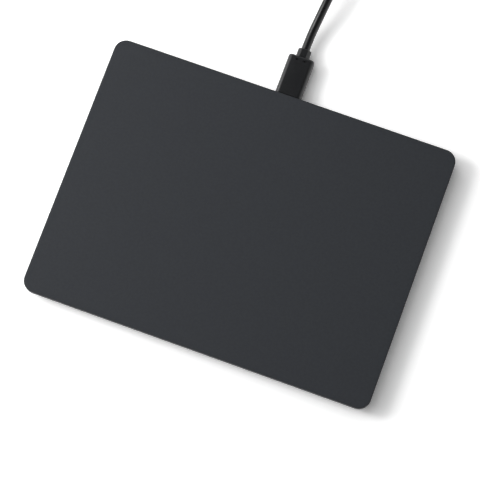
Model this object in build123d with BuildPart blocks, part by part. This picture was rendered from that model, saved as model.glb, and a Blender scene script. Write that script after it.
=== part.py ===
from build123d import *
import os
from math import atan, cos, pi, radians, sin, sqrt, tan

# Wired desktop trackpad, in millimetres. X runs across the pad, Y towards the lead at its back
# and Z up. The origin is the middle of the pad's footprint, on the desk.

# Overall form
pad_width = 160.0
pad_depth = 121.2
corner_radius = 5.5
smallest_corner = 0.8
overrun = 2.0
post_sides = 12

# Heights, from the desk up
foot_stand = 0.8
cover_thickness = 1.2
ledge_thickness = 1.5
skirt_radius = 4.8
skirt_corner_room = 0.5
rim_band = 1.5
reveal_gap = 0.4
glass_thickness = 1.1

underside_z = foot_stand
cover_top_z = underside_z + cover_thickness
ledge_top_z = cover_top_z + ledge_thickness
rim_top_z = underside_z + skirt_radius + rim_band
glass_bottom_z = rim_top_z + reveal_gap
pad_height = glass_bottom_z + glass_thickness
back_y = pad_depth / 2

# Housing
wall = 1.8
cover_inset = 5.6
ledge_width = 3.0
rim_edge = 0.3
boss_radius = 2.4
boss_height = 3.0
boss_end_wall = 0.8
boss_inset = 9.5
ledge_inset = cover_inset + ledge_width
ledge_inner_y = back_y - ledge_inset

# Bottom cover, its screws and its feet
cover_gap = 0.15
cover_screw_radius = 0.8
cover_screw_length = 3.2
cover_head_radius = 1.9
cover_head_depth = 1.0
countersink_angle = 45.0
screw_gap = 0.02
head_gap = 0.05
foot_length = 22.0
foot_width = 7.0
foot_thickness = 1.2
foot_gap = 0.1
foot_edge = 0.3
foot_side_inset = 24.0
foot_end_inset = 17.6
foot_x = pad_width / 2 - foot_side_inset
foot_y = back_y - foot_end_inset

# Touch plate
glass_edge = 0.3
adhesive_thickness = 0.15
adhesive_inset = 5.2
sensor_inset = 4.8
sensor_thickness = 0.8
stiffener_thickness = 0.5
window_count = 3
window_radius = 4.0
window_rib = 6.0
window_side_band = 9.2
window_front_band = 16.8
window_rear_band = 25.8
notch_width = 30.0
notch_depth = 20.0
stiffener_width = pad_width - 2 * sensor_inset
stiffener_depth = pad_depth - 2 * sensor_inset
window_width = (stiffener_width - 2 * window_side_band - (window_count - 1) * window_rib) / window_count
window_depth = stiffener_depth - window_front_band - window_rear_band
window_y = (window_front_band - window_rear_band) / 2
sensor_top_z = glass_bottom_z - adhesive_thickness
sensor_bottom_z = sensor_top_z - sensor_thickness
stiffener_bottom_z = sensor_bottom_z - stiffener_thickness

# Hinge along the rear edge
hinge_inset = 10.6
hinge_side_inset = 25.0
hinge_drop = 1.75
hinge_z = stiffener_bottom_z - hinge_drop
hinge_x = pad_width / 2 - hinge_side_inset
pin_radius = 0.75
pin_running_gap = 0.05
pin_seat_gap = 0.01
knuckle_radius = 1.5
knuckle_width = 10.0
lug_radius = 1.45
lug_width = 3.0
lug_gap = 0.3
lug_root = 0.5
pin_chamfer = 0.15
hinge_y = back_y - hinge_inset

# Stops that hold the plate's front edge down
stop_side_inset = 22.0
stop_x = pad_width / 2 - stop_side_inset
stop_width = 10.0
lip_reach = 1.6
lip_thickness = 0.5
stop_gap = 0.03
tab_lap = 0.7
tab_thickness = 0.5
tab_web = 0.6
tab_side = 1.0

# Leaf springs under the plate
spring_side_inset = 45.0
spring_x = pad_width / 2 - spring_side_inset
spring_width = 7.0
spring_thickness = 0.25
spring_root = 3.6
spring_span = 11.0
spring_tip = 2.6
spring_bend = 1.5
spring_gap = 0.05
spring_end_gap = 0.2

# Port
port_width = 8.34
port_height = 2.56
port_wall = 0.3
port_length = 7.3
port_recess = 0.15
aperture_gap = 0.1
land_width = 17.0
land_depth = 7.0
land_bottom_rise = 0.2
land_edge = 0.8
tongue_width = 6.69
tongue_thickness = 0.7
tongue_base = 0.8
tongue_setback = 1.5
contact_count = 12
contact_pitch = 0.5
contact_width = 0.25
contact_length = 3.4
contact_proud = 0.05
port_tab_width = 1.5
port_tab_reach = 1.4
port_axis_rise = 0.73
port_axis_z = ledge_top_z + port_axis_rise
port_face_y = back_y - port_recess
port_back_y = port_face_y - port_length
land_wall = 1.2

# Port board
board_thickness = 0.6
port_board_width = 28.0
port_board_reach = 18.6
port_board_front_y = back_y - port_board_reach
port_board_gap = 0.4
board_notch_gap = 0.1
port_screw_x = 10.5
chip_size = 4.0
chip_height = 0.8
chip_inset = 11.1
chip_y = back_y - chip_inset
connector_width = 10.0
connector_depth = 3.2
connector_height = 1.0
connector_inset = 16.2
connector_y = back_y - connector_inset
connector_slot = 0.5
flex_width = 8.0
flex_thickness = 0.15
flex_insert = 2.0
flex_lead = 2.2

# Switches under the front edge
switch_side_inset = 48.0
switch_inset = 12.6
switch_x = pad_width / 2 - switch_side_inset
switch_y = -(back_y - switch_inset)
switch_size = 4.5
switch_height = 1.1
switch_floor = 0.2
switch_roof = 0.15
switch_cavity_radius = 1.8
plunger_radius = 1.1
plunger_gap = 0.08
plunger_proud = 0.35
flange_radius = 1.45
flange_thickness = 0.2
striker_radius = 2.0
striker_gap = 0.05
dome_radius = 1.5
dome_rise = 0.18
dome_thickness = 0.09
dome_angle = 75.0
shelf_width = 16.0
shelf_depth = 8.5
switch_board_end = 10.0
switch_board_width = 2 * (switch_x + switch_board_end)
switch_board_depth = 11.5
switch_board_gap = 0.5
switch_screw_side = 12.0
switch_screw_x = switch_x - switch_screw_side
ribbon_width = 5.0
ribbon_thickness = 0.15
ribbon_gap = 0.3
ribbon_bend = 0.6

# Small screws inside
inner_screw_radius = 0.6
inner_screw_length = 1.9
inner_head_radius = 1.3
inner_head_height = 0.6

# Chips on the sensor board
controller_size = 9.0
controller_x = -6.0
microcontroller_size = 6.0
microcontroller_x = 9.0
sensor_chip_height = 0.8
sensor_chip_inset = 42.6
sensor_chip_y = back_y - sensor_chip_inset
passive_length = 1.0
passive_width = 0.5
passive_height = 0.45
passive_pitch_x = 3.0
passive_pitch_y = 1.6
passive_inset = 35.1
passive_y = back_y - passive_inset
passive_columns = 6
passive_rows = 3

# USB-C end of the lead
plug_width = 8.25
plug_height = 2.4
plug_wall = 0.25
plug_insertion = 6.2
plug_embedded = 1.5
insert_slot_width = 6.9
insert_slot_height = 0.9
insert_slot_depth = 5.0
moulded_gap = 0.02
overmold_width = 12.0
overmold_height = 6.0
overmold_length = 19.0
overmold_gap = 0.3
overmold_edge = 1.5
overmold_end_edge = 1.0
pit_radius = 0.3
pit_depth = 0.3
pit_spacing = 3.4
pit_from_end = 1.7
collar_width = 6.0
collar_height = 5.0
collar_length = 3.9
collar_edge = 1.2
collar_end_chamfer = 0.8
overmold_front_y = back_y + overmold_gap
overmold_end_y = overmold_front_y + overmold_length
collar_end_y = overmold_end_y + collar_length

# Cord, with its put-away coil behind the pad
cord_diameter = 3.9
cord_sides = 8
tie_thickness = 0.5
tie_lift = 0.05
tie_side_gap = 0.75
tie_top_gap = 0.3
tie_width = 6.0
tie_corner = 0.9
coil_x = -24.1
coil_y = 163.0
coil_outer_radius = 29.1
coil_pitch = 4.8
coil_layer_rise = 4.7
turns_per_layer = 3
corner_share = 0.45
points_per_arc = 12
bottom_layer_z = tie_thickness + tie_lift + cord_diameter / 2
top_layer_z = bottom_layer_z + coil_layer_rise

# USB-A end of the lead
usb_a_width = 12.0
usb_a_height = 4.5
usb_a_wall = 0.3
usb_a_length = 12.0
usb_a_embedded = 4.0
usb_a_corner = 0.6
usb_a_window = 2.3
usb_a_window_spacing = 5.2
usb_a_window_from_end = 5.6
usb_a_tongue_thickness = 1.84
usb_a_tongue_setback = 0.5
usb_a_side_gap = 0.3
usb_a_contact_width = 1.0
usb_a_contact_pitch = 2.3
usb_a_contact_count = 4
usb_a_contact_length = 7.0
usb_a_contact_proud = 0.15
grip_width = 16.0
grip_height = 8.0
grip_length = 18.0
grip_edge = 2.2
grip_end_edge = 1.0
relief_length = 9.0
relief_base_width = 7.6
relief_base_height = 6.8
relief_corner = 2.0
relief_taper = 4.0
tail_sway = 0.8
grip_axis_z = grip_height / 2

os.makedirs("parts", exist_ok=True)


def outline_slab(inset, low, high, mode=Mode.ADD):
    """A slab of the pad's outline, drawn in by inset, between two heights."""
    with BuildSketch(Plane.XY.offset(low)) as outline:
        radius = max(corner_radius - inset, smallest_corner)
        RectangleRounded(pad_width - 2 * inset, pad_depth - 2 * inset, radius)
    extrude(outline.sketch, amount=high - low, mode=mode)


def block(x, y, width, depth, low, high, mode=Mode.ADD):
    """An upright block centred on x and y, between two heights."""
    with BuildSketch(Plane.XY.offset(low)) as footprint:
        with Locations((x, y)):
            Rectangle(width, depth)
    extrude(footprint.sketch, amount=high - low, mode=mode)


def post(places, radius, low, high, mode=Mode.ADD, taper=0):
    """Upright many-sided posts, or holes, at each place, which may narrow by a taper on their way up."""
    with BuildSketch(Plane.XY.offset(low)) as rounds:
        with Locations(*places):
            RegularPolygon(radius, post_sides)
    extrude(rounds.sketch, amount=high - low, mode=mode, taper=taper)


def across(y):
    """The plane across the lead at y. A negative extrusion from it runs towards the back."""
    return Plane.XZ.offset(-y)


def strip(x, width, thickness, points, radii):
    """A bent strip of the given width, whose middle follows points in Y and Z."""
    with BuildSketch(Plane.YZ.offset(x - width / 2)) as profile:
        with BuildLine():
            FilletPolyline(*points, radius=radii)
        trace(line_width=thickness)
    extrude(profile.sketch, amount=width)


boss_x = pad_width / 2 - boss_inset
boss_y = back_y - boss_inset
cover_screw_places = [(x, y) for x in (-boss_x, boss_x) for y in (-boss_y, 0, boss_y)]
foot_places = {
    "foot_front_left": (-foot_x, -foot_y),
    "foot_front_right": (foot_x, -foot_y),
    "foot_rear_left": (-foot_x, foot_y),
    "foot_rear_right": (foot_x, foot_y),
}
ledge_middle_y = back_y - cover_inset - ledge_width / 2
inner_screw_places = [
    (-port_screw_x, ledge_middle_y, ledge_top_z + board_thickness),
    (port_screw_x, ledge_middle_y, ledge_top_z + board_thickness),
    (-spring_x, ledge_middle_y, ledge_top_z + spring_thickness),
    (spring_x, ledge_middle_y, ledge_top_z + spring_thickness),
    (-switch_screw_x, -ledge_middle_y, ledge_top_z + board_thickness),
    (switch_screw_x, -ledge_middle_y, ledge_top_z + board_thickness),
]
inner_screw_holes = [(x, y) for x, y, seat in inner_screw_places]

# Housing: a moulded ring with a rounded skirt, a ledge for the cover, and all that carries the rest.
lug_offsets = [side * (knuckle_width / 2 + lug_gap + lug_width / 2) for side in (-1, 1)]
front_wall_y = -(back_y - wall)
lip_bottom_z = stiffener_bottom_z - tab_web + tab_thickness + stop_gap
port_outer_width = port_width + 2 * port_wall
port_outer_height = port_height + 2 * port_wall
port_pocket_low_z = port_axis_z - port_outer_height / 2 - aperture_gap
land_low_z = underside_z + land_bottom_rise
land_high_z = rim_top_z - rim_band
lug_depth = ledge_inner_y + lug_root - hinge_y + lug_radius
pocket_depth = back_y - land_wall - ledge_inner_y
with BuildPart() as housing:
    outline_slab(0, underside_z, rim_top_z)
    fillet(housing.faces().sort_by(Axis.Z)[0].edges(),
           radius=min(skirt_radius, corner_radius - skirt_corner_room))
    chamfer(housing.faces().sort_by(Axis.Z)[-1].edges(), length=rim_edge)
    with BuildSketch(Plane.YZ) as land_side:
        with Locations((back_y - land_depth / 2, (land_low_z + land_high_z) / 2)):
            Rectangle(land_depth, land_high_z - land_low_z)
        fillet(land_side.vertices().sort_by(Axis.X)[-2:].sort_by(Axis.Y)[0], radius=land_edge)
    extrude(amount=land_width / 2, both=True)
    outline_slab(cover_inset, underside_z, cover_top_z, Mode.SUBTRACT)
    outline_slab(ledge_inset, cover_top_z, ledge_top_z, Mode.SUBTRACT)
    outline_slab(wall, ledge_top_z, rim_top_z, Mode.SUBTRACT)
    post(cover_screw_places, boss_radius, cover_top_z, cover_top_z + boss_height)
    for side in (-1, 1):
        block(side * switch_x, -ledge_inner_y + shelf_depth / 2, shelf_width, shelf_depth,
              cover_top_z, ledge_top_z)
        block(side * stop_x, front_wall_y + lip_reach / 2, stop_width, lip_reach,
              lip_bottom_z, lip_bottom_z + lip_thickness)
        for offset_x in lug_offsets:
            with BuildSketch(Plane.YZ.offset(side * hinge_x + offset_x - lug_width / 2)):
                with Locations((hinge_y - lug_radius + lug_depth / 2, (cover_top_z + hinge_z) / 2)):
                    Rectangle(lug_depth, hinge_z - cover_top_z)
                with Locations((hinge_y, hinge_z)):
                    Circle(lug_radius)
                    Circle(pin_radius + pin_seat_gap, mode=Mode.SUBTRACT)
            extrude(amount=lug_width)
    post(cover_screw_places, cover_screw_radius + screw_gap, cover_top_z,
         cover_top_z + boss_height - boss_end_wall, Mode.SUBTRACT)
    post(inner_screw_holes, inner_screw_radius + screw_gap, cover_top_z, ledge_top_z, Mode.SUBTRACT)
    block(0, ledge_inner_y + pocket_depth / 2, port_outer_width + 2 * aperture_gap, pocket_depth,
          port_pocket_low_z, ledge_top_z, Mode.SUBTRACT)
    with BuildSketch(across(back_y + overrun)):
        with Locations((0, port_axis_z)):
            SlotOverall(port_outer_width + 2 * aperture_gap, port_outer_height + 2 * aperture_gap)
    extrude(amount=overrun + back_y - ledge_inner_y, mode=Mode.SUBTRACT)
housing.part.label = "housing"
export_step(housing.part, "parts/housing.step")

# Bottom cover: a flat moulded lid let into the housing, with countersunk holes and foot recesses.
recess_z = foot_thickness
with BuildPart() as bottom_cover:
    outline_slab(cover_inset + cover_gap, underside_z, cover_top_z)
    post(cover_screw_places, cover_screw_radius + head_gap, underside_z, cover_top_z, Mode.SUBTRACT)
    post(cover_screw_places, cover_head_radius + head_gap, underside_z, underside_z + cover_head_depth,
         Mode.SUBTRACT, countersink_angle)
    with BuildSketch(Plane.XY.offset(underside_z)):
        with Locations(*foot_places.values()):
            SlotOverall(foot_length + 2 * foot_gap, foot_width + 2 * foot_gap)
    extrude(amount=recess_z - underside_z, mode=Mode.SUBTRACT)
bottom_cover.part.label = "bottom_cover"
export_step(bottom_cover.part, "parts/bottom_cover.step")

# Cover screws: countersunk, one in each boss.
with BuildPart() as cover_screws:
    post(cover_screw_places, cover_head_radius, underside_z, underside_z + cover_head_depth,
         taper=countersink_angle)
    post(cover_screw_places, cover_screw_radius, underside_z, underside_z + cover_screw_length)
cover_screws.part.label = "cover_screws"
export_step(cover_screws.part, "parts/cover_screws.step")

# Feet: four rubber pads stuck in the cover's recesses.
for name, place in foot_places.items():
    with BuildPart() as foot:
        with BuildSketch():
            with Locations(place):
                SlotOverall(foot_length, foot_width)
        extrude(amount=foot_thickness)
        chamfer(foot.faces().sort_by(Axis.Z)[0].edges(), length=foot_edge)
    foot.part.label = name
    export_step(foot.part, f"parts/{name}.step")

# Inner screws: pan heads that hold the two boards and the leaf springs on the ledge.
with BuildPart() as inner_screws:
    for x, y, seat_z in inner_screw_places:
        post([(x, y)], inner_screw_radius, seat_z + inner_head_height - inner_screw_length, seat_z)
        post([(x, y)], inner_head_radius, seat_z, seat_z + inner_head_height)
inner_screws.part.label = "inner_screws"
export_step(inner_screws.part, "parts/inner_screws.step")

# Port board: it lies on the rear ledge, notched round the port's shell.
board_top_z = ledge_top_z + board_thickness
port_board_back_y = back_y - wall - port_board_gap
port_board_depth = port_board_back_y - port_board_front_y
board_notch_depth = port_board_back_y - port_back_y + board_notch_gap
with BuildPart() as port_board:
    block(0, port_board_front_y + port_board_depth / 2, port_board_width, port_board_depth,
          ledge_top_z, board_top_z)
    block(0, port_board_back_y - board_notch_depth / 2, port_outer_width + 2 * board_notch_gap,
          board_notch_depth, ledge_top_z, board_top_z, Mode.SUBTRACT)
    post(inner_screw_holes[:2], inner_screw_radius + screw_gap, ledge_top_z, board_top_z, Mode.SUBTRACT)
port_board.part.label = "port_board"
export_step(port_board.part, "parts/port_board.step")

# Port shell: the steel tube that the plug enters, with tabs soldered to the board.
with BuildPart() as port_shell:
    with BuildSketch(across(port_face_y)):
        with Locations((0, port_axis_z)):
            SlotOverall(port_outer_width, port_outer_height)
    extrude(amount=port_length)
    for side in (-1, 1):
        for tab_y in (port_back_y + port_tab_width, port_board_back_y - port_tab_width):
            block(side * (port_outer_width + port_tab_reach) / 2, tab_y,
                  port_tab_reach + 2 * port_wall, port_tab_width, board_top_z, board_top_z + port_wall)
    with BuildSketch(across(port_face_y)):
        with Locations((0, port_axis_z)):
            SlotOverall(port_width, port_height)
    extrude(amount=port_length, mode=Mode.SUBTRACT)
port_shell.part.label = "port_shell"
export_step(port_shell.part, "parts/port_shell.step")

# Port tongue: the moulded blade inside the shell, on a base that closes its back.
tongue_tip_y = port_face_y - tongue_setback
with BuildPart() as port_tongue:
    with BuildSketch(across(port_back_y)):
        with Locations((0, port_axis_z)):
            SlotOverall(port_width, port_height)
    extrude(amount=-tongue_base)
    with BuildSketch(across(port_back_y)):
        with Locations((0, port_axis_z)):
            Rectangle(tongue_width, tongue_thickness)
    extrude(amount=port_back_y - tongue_tip_y)
port_tongue.part.label = "port_tongue"
export_step(port_tongue.part, "parts/port_tongue.step")

# Port contacts: a row of thin pads on each face of the tongue.
with BuildPart() as port_contacts:
    for side in (-1, 1):
        with BuildSketch(across(tongue_tip_y - contact_width)):
            with Locations((0, port_axis_z + side * (tongue_thickness + contact_proud) / 2)):
                with GridLocations(contact_pitch, 0, contact_count, 1):
                    Rectangle(contact_width, contact_proud)
        extrude(amount=contact_length)
port_contacts.part.label = "port_contacts"
export_step(port_contacts.part, "parts/port_contacts.step")

# Port chip: the controller beside the port.
with BuildPart() as port_chip:
    block(0, chip_y, chip_size, chip_size, board_top_z, board_top_z + chip_height)
port_chip.part.label = "port_chip"
export_step(port_chip.part, "parts/port_chip.step")


def ribbon_socket(low):
    """A ribbon connector whose slot faces the front, with its base at the given height."""
    block(0, connector_y, connector_width, connector_depth, low, low + connector_height)
    middle_z = low + connector_height / 2
    block(0, connector_y - connector_depth / 2 + flex_insert / 2 - ribbon_gap / 2, flex_width + ribbon_gap,
          flex_insert + ribbon_gap, middle_z - connector_slot / 2, middle_z + connector_slot / 2,
          Mode.SUBTRACT)


# Port connector and sensor connector: the two sockets of the flex cable.
with BuildPart() as port_connector:
    ribbon_socket(board_top_z)
port_connector.part.label = "port_connector"
export_step(port_connector.part, "parts/port_connector.step")

with BuildPart() as sensor_connector:
    ribbon_socket(sensor_bottom_z - connector_height)
sensor_connector.part.label = "sensor_connector"
export_step(sensor_connector.part, "parts/sensor_connector.step")

# Flex cable: a flat ribbon that turns back on itself from one socket up to the other.
flex_low_z = board_top_z + connector_height / 2
flex_high_z = sensor_bottom_z - connector_height / 2
flex_turn = (flex_high_z - flex_low_z) / 2
flex_end_y = connector_y - connector_depth / 2 + flex_insert - ribbon_gap
flex_turn_y = connector_y - connector_depth / 2 - flex_lead
with BuildPart() as flex_cable:
    with BuildSketch(Plane.YZ.offset(-flex_width / 2)):
        with BuildLine():
            Line((flex_end_y, flex_low_z), (flex_turn_y, flex_low_z))
            ThreePointArc((flex_turn_y, flex_low_z), (flex_turn_y - flex_turn, flex_low_z + flex_turn),
                          (flex_turn_y, flex_high_z))
            Line((flex_turn_y, flex_high_z), (flex_end_y, flex_high_z))
        trace(line_width=flex_thickness)
    extrude(amount=flex_width)
flex_cable.part.label = "flex_cable"
export_step(flex_cable.part, "parts/flex_cable.step")

# Hinge pins and leaf springs, one of each on each side.
pin_length = knuckle_width + 2 * lug_gap + 2 * lug_width
spring_base_z = ledge_top_z + spring_thickness / 2
spring_crest_z = stiffener_bottom_z - spring_gap - spring_thickness / 2
spring_back_y = back_y - cover_inset - spring_end_gap
spring_rise_y = spring_back_y - spring_root
spring_crest_y = spring_rise_y - spring_span
spring_slope = atan((spring_crest_z - spring_base_z) / spring_span)
for name, side in (("left", -1), ("right", 1)):
    with BuildPart() as hinge_pin:
        with BuildSketch(Plane.YZ.offset(side * hinge_x - pin_length / 2)):
            with Locations((hinge_y, hinge_z)):
                Circle(pin_radius)
        extrude(amount=pin_length)
        chamfer(hinge_pin.edges().filter_by(GeomType.CIRCLE), length=pin_chamfer)
    hinge_pin.part.label = f"hinge_pin_{name}"
    export_step(hinge_pin.part, f"parts/hinge_pin_{name}.step")

    with BuildPart() as return_spring:
        strip(side * spring_x, spring_width, spring_thickness,
              [(spring_back_y, spring_base_z), (spring_rise_y, spring_base_z),
               (spring_crest_y, spring_crest_z),
               (spring_crest_y - spring_tip, spring_crest_z - spring_tip * tan(spring_slope))],
              [spring_bend, spring_bend])
        post([(side * spring_x, ledge_middle_y)], inner_screw_radius + screw_gap,
             ledge_top_z, ledge_top_z + spring_thickness, Mode.SUBTRACT)
    return_spring.part.label = f"return_spring_{name}"
    export_step(return_spring.part, f"parts/return_spring_{name}.step")

# Switch board: a strip on the front ledge and its two shelves.
switch_board_y = -(back_y - cover_inset) + switch_board_gap + switch_board_depth / 2
with BuildPart() as switch_board:
    block(0, switch_board_y, switch_board_width, switch_board_depth, ledge_top_z, board_top_z)
    post(inner_screw_holes[4:], inner_screw_radius + screw_gap, ledge_top_z, board_top_z, Mode.SUBTRACT)
switch_board.part.label = "switch_board"
export_step(switch_board.part, "parts/switch_board.step")

# Switch ribbon: a flat lead on the cover, from the port board's edge up to the switch board.
ribbon_low_z = cover_top_z + ribbon_thickness / 2
ribbon_front_y = switch_board_y + switch_board_depth / 2 - ribbon_gap
with BuildPart() as switch_ribbon:
    strip(0, ribbon_width, ribbon_thickness,
          [(port_board_front_y + ribbon_gap, ledge_top_z), (port_board_front_y + ribbon_gap, ribbon_low_z),
           (ribbon_front_y, ribbon_low_z), (ribbon_front_y, ledge_top_z)],
          [ribbon_bend, ribbon_bend])
switch_ribbon.part.label = "switch_ribbon"
export_step(switch_ribbon.part, "parts/switch_ribbon.step")

# Switches: a square body round a round cavity, a flanged plunger and the snap dome under it.
switch_top_z = board_top_z + switch_height
cavity_low_z = board_top_z + switch_floor
cavity_high_z = switch_top_z - switch_roof
plunger_top_z = switch_top_z + plunger_proud
dome_rim_z = cavity_high_z - flange_thickness - dome_rise
for name, side in (("left", -1), ("right", 1)):
    place = (side * switch_x, switch_y)
    with BuildPart() as switch:
        block(*place, switch_size, switch_size, board_top_z, switch_top_z)
        post([place], switch_cavity_radius, cavity_low_z, cavity_high_z, Mode.SUBTRACT)
        post([place], plunger_radius + plunger_gap, cavity_high_z, switch_top_z, Mode.SUBTRACT)
    switch.part.label = f"switch_{name}"
    export_step(switch.part, f"parts/switch_{name}.step")

    with BuildPart() as plunger:
        post([place], flange_radius, cavity_high_z - flange_thickness, cavity_high_z)
        post([place], plunger_radius, cavity_high_z, plunger_top_z)
    plunger.part.label = f"plunger_{name}"
    export_step(plunger.part, f"parts/plunger_{name}.step")

    with BuildPart() as dome:
        post([place], dome_radius, dome_rim_z, dome_rim_z + dome_rise, taper=dome_angle)
        post([place], dome_radius - dome_thickness, dome_rim_z, dome_rim_z + dome_rise - dome_thickness,
             Mode.SUBTRACT, dome_angle)
    dome.part.label = f"dome_{name}"
    export_step(dome.part, f"parts/dome_{name}.step")

    with BuildPart() as striker:
        post([place], striker_radius, plunger_top_z + striker_gap, stiffener_bottom_z)
    striker.part.label = f"striker_{name}"
    export_step(striker.part, f"parts/striker_{name}.step")

# Touch glass: one sheet over the whole top, its edges eased.
with BuildPart() as touch_glass:
    outline_slab(0, glass_bottom_z, pad_height)
    chamfer(touch_glass.faces().sort_by(Axis.Z)[-1].edges(), length=glass_edge)
    chamfer(touch_glass.faces().sort_by(Axis.Z)[0].edges(), length=glass_edge / 2)
touch_glass.part.label = "touch_glass"
export_step(touch_glass.part, "parts/touch_glass.step")

with BuildPart() as glass_adhesive:
    outline_slab(adhesive_inset, sensor_top_z, glass_bottom_z)
glass_adhesive.part.label = "glass_adhesive"
export_step(glass_adhesive.part, "parts/glass_adhesive.step")

with BuildPart() as sensor_board:
    outline_slab(sensor_inset, sensor_bottom_z, sensor_top_z)
sensor_board.part.label = "sensor_board"
export_step(sensor_board.part, "parts/sensor_board.step")

# Stiffener: a stamped frame with windows, a rear notch, hinge knuckles and joggled stop tabs.
stiffener_front_y = -(back_y - sensor_inset)
tab_front_y = front_wall_y + lip_reach - tab_lap
tab_low_z = stiffener_bottom_z - tab_web
with BuildPart() as stiffener:
    outline_slab(sensor_inset, stiffener_bottom_z, sensor_bottom_z)
    with BuildSketch(Plane.XY.offset(stiffener_bottom_z)):
        with Locations((0, window_y)):
            with GridLocations(window_width + window_rib, 0, window_count, 1):
                RectangleRounded(window_width, window_depth, window_radius)
    extrude(amount=stiffener_thickness, mode=Mode.SUBTRACT)
    block(0, back_y - sensor_inset - notch_depth / 2, notch_width, notch_depth,
          stiffener_bottom_z, sensor_bottom_z, Mode.SUBTRACT)
    for side in (-1, 1):
        with BuildSketch(Plane.YZ.offset(side * hinge_x - knuckle_width / 2)):
            with Locations((hinge_y, (hinge_z + stiffener_bottom_z) / 2)):
                Rectangle(2 * knuckle_radius, stiffener_bottom_z - hinge_z)
            with Locations((hinge_y, hinge_z)):
                Circle(knuckle_radius)
                Circle(pin_radius + pin_running_gap, mode=Mode.SUBTRACT)
        extrude(amount=knuckle_width)
        tab_width = stop_width - 2 * tab_side
        block(side * stop_x, stiffener_front_y + tab_web / 2, tab_width, tab_web,
              tab_low_z, stiffener_bottom_z)
        block(side * stop_x, (tab_front_y + stiffener_front_y + tab_web) / 2, tab_width,
              stiffener_front_y + tab_web - tab_front_y, tab_low_z, tab_low_z + tab_thickness)
stiffener.part.label = "stiffener"
export_step(stiffener.part, "parts/stiffener.step")

# Chips and small parts under the sensor board, in the stiffener's middle window.
with BuildPart() as touch_controller:
    block(controller_x, sensor_chip_y, controller_size, controller_size,
          sensor_bottom_z - sensor_chip_height, sensor_bottom_z)
touch_controller.part.label = "touch_controller"
export_step(touch_controller.part, "parts/touch_controller.step")

with BuildPart() as microcontroller:
    block(microcontroller_x, sensor_chip_y, microcontroller_size, microcontroller_size,
          sensor_bottom_z - sensor_chip_height, sensor_bottom_z)
microcontroller.part.label = "microcontroller"
export_step(microcontroller.part, "parts/microcontroller.step")

with BuildPart() as sensor_passives:
    with BuildSketch(Plane.XY.offset(sensor_bottom_z - passive_height)):
        with Locations((0, passive_y)):
            with GridLocations(passive_pitch_x, passive_pitch_y, passive_columns, passive_rows):
                Rectangle(passive_length, passive_width)
    extrude(amount=passive_height)
sensor_passives.part.label = "sensor_passives"
export_step(sensor_passives.part, "parts/sensor_passives.step")

# USB-C plug: a steel shell round a slotted insert, held in the moulded grip.
plug_tip_y = port_face_y - plug_insertion
plug_end_y = overmold_front_y + plug_embedded
with BuildPart() as usb_c_plug_shell:
    with BuildSketch(across(plug_tip_y)):
        with Locations((0, port_axis_z)):
            SlotOverall(plug_width, plug_height)
            SlotOverall(plug_width - 2 * plug_wall, plug_height - 2 * plug_wall, mode=Mode.SUBTRACT)
    extrude(amount=plug_tip_y - plug_end_y)
usb_c_plug_shell.part.label = "usb_c_plug_shell"
export_step(usb_c_plug_shell.part, "parts/usb_c_plug_shell.step")

with BuildPart() as usb_c_plug_insert:
    with BuildSketch(across(plug_tip_y)):
        with Locations((0, port_axis_z)):
            SlotOverall(plug_width - 2 * plug_wall, plug_height - 2 * plug_wall)
    extrude(amount=plug_tip_y - plug_end_y)
    with BuildSketch(across(plug_tip_y)):
        with Locations((0, port_axis_z)):
            Rectangle(insert_slot_width, insert_slot_height)
    extrude(amount=-insert_slot_depth, mode=Mode.SUBTRACT)
usb_c_plug_insert.part.label = "usb_c_plug_insert"
export_step(usb_c_plug_insert.part, "parts/usb_c_plug_insert.step")

# USB-C grip: a rounded block with two ejector pits on its top, open at the front for the shell.
with BuildPart() as usb_c_overmold:
    with BuildSketch(across(overmold_front_y)):
        with Locations((0, port_axis_z)):
            RectangleRounded(overmold_width, overmold_height, overmold_edge)
    extrude(amount=-overmold_length)
    chamfer(usb_c_overmold.faces().sort_by(Axis.Y)[-1].edges(), length=overmold_end_edge)
    with BuildSketch(across(overmold_front_y)):
        with Locations((0, port_axis_z)):
            SlotOverall(plug_width + 2 * moulded_gap, plug_height + 2 * moulded_gap)
    extrude(amount=-plug_embedded, mode=Mode.SUBTRACT)
    grip_top_z = port_axis_z + overmold_height / 2
    post([(side * pit_spacing / 2, overmold_end_y - pit_from_end) for side in (-1, 1)], pit_radius,
         grip_top_z - pit_depth, grip_top_z, Mode.SUBTRACT)
usb_c_overmold.part.label = "usb_c_overmold"
export_step(usb_c_overmold.part, "parts/usb_c_overmold.step")

with BuildPart() as usb_c_strain_relief:
    with BuildSketch(across(overmold_end_y)) as collar_section:
        with Locations((0, port_axis_z)):
            Rectangle(collar_width, collar_height)
        chamfer(collar_section.vertices(), length=collar_edge)
    extrude(amount=-collar_length)
    chamfer(usb_c_strain_relief.faces().sort_by(Axis.Y)[-1].edges(), length=collar_end_chamfer)
usb_c_strain_relief.part.label = "usb_c_strain_relief"
export_step(usb_c_strain_relief.part, "parts/usb_c_strain_relief.step")


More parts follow.
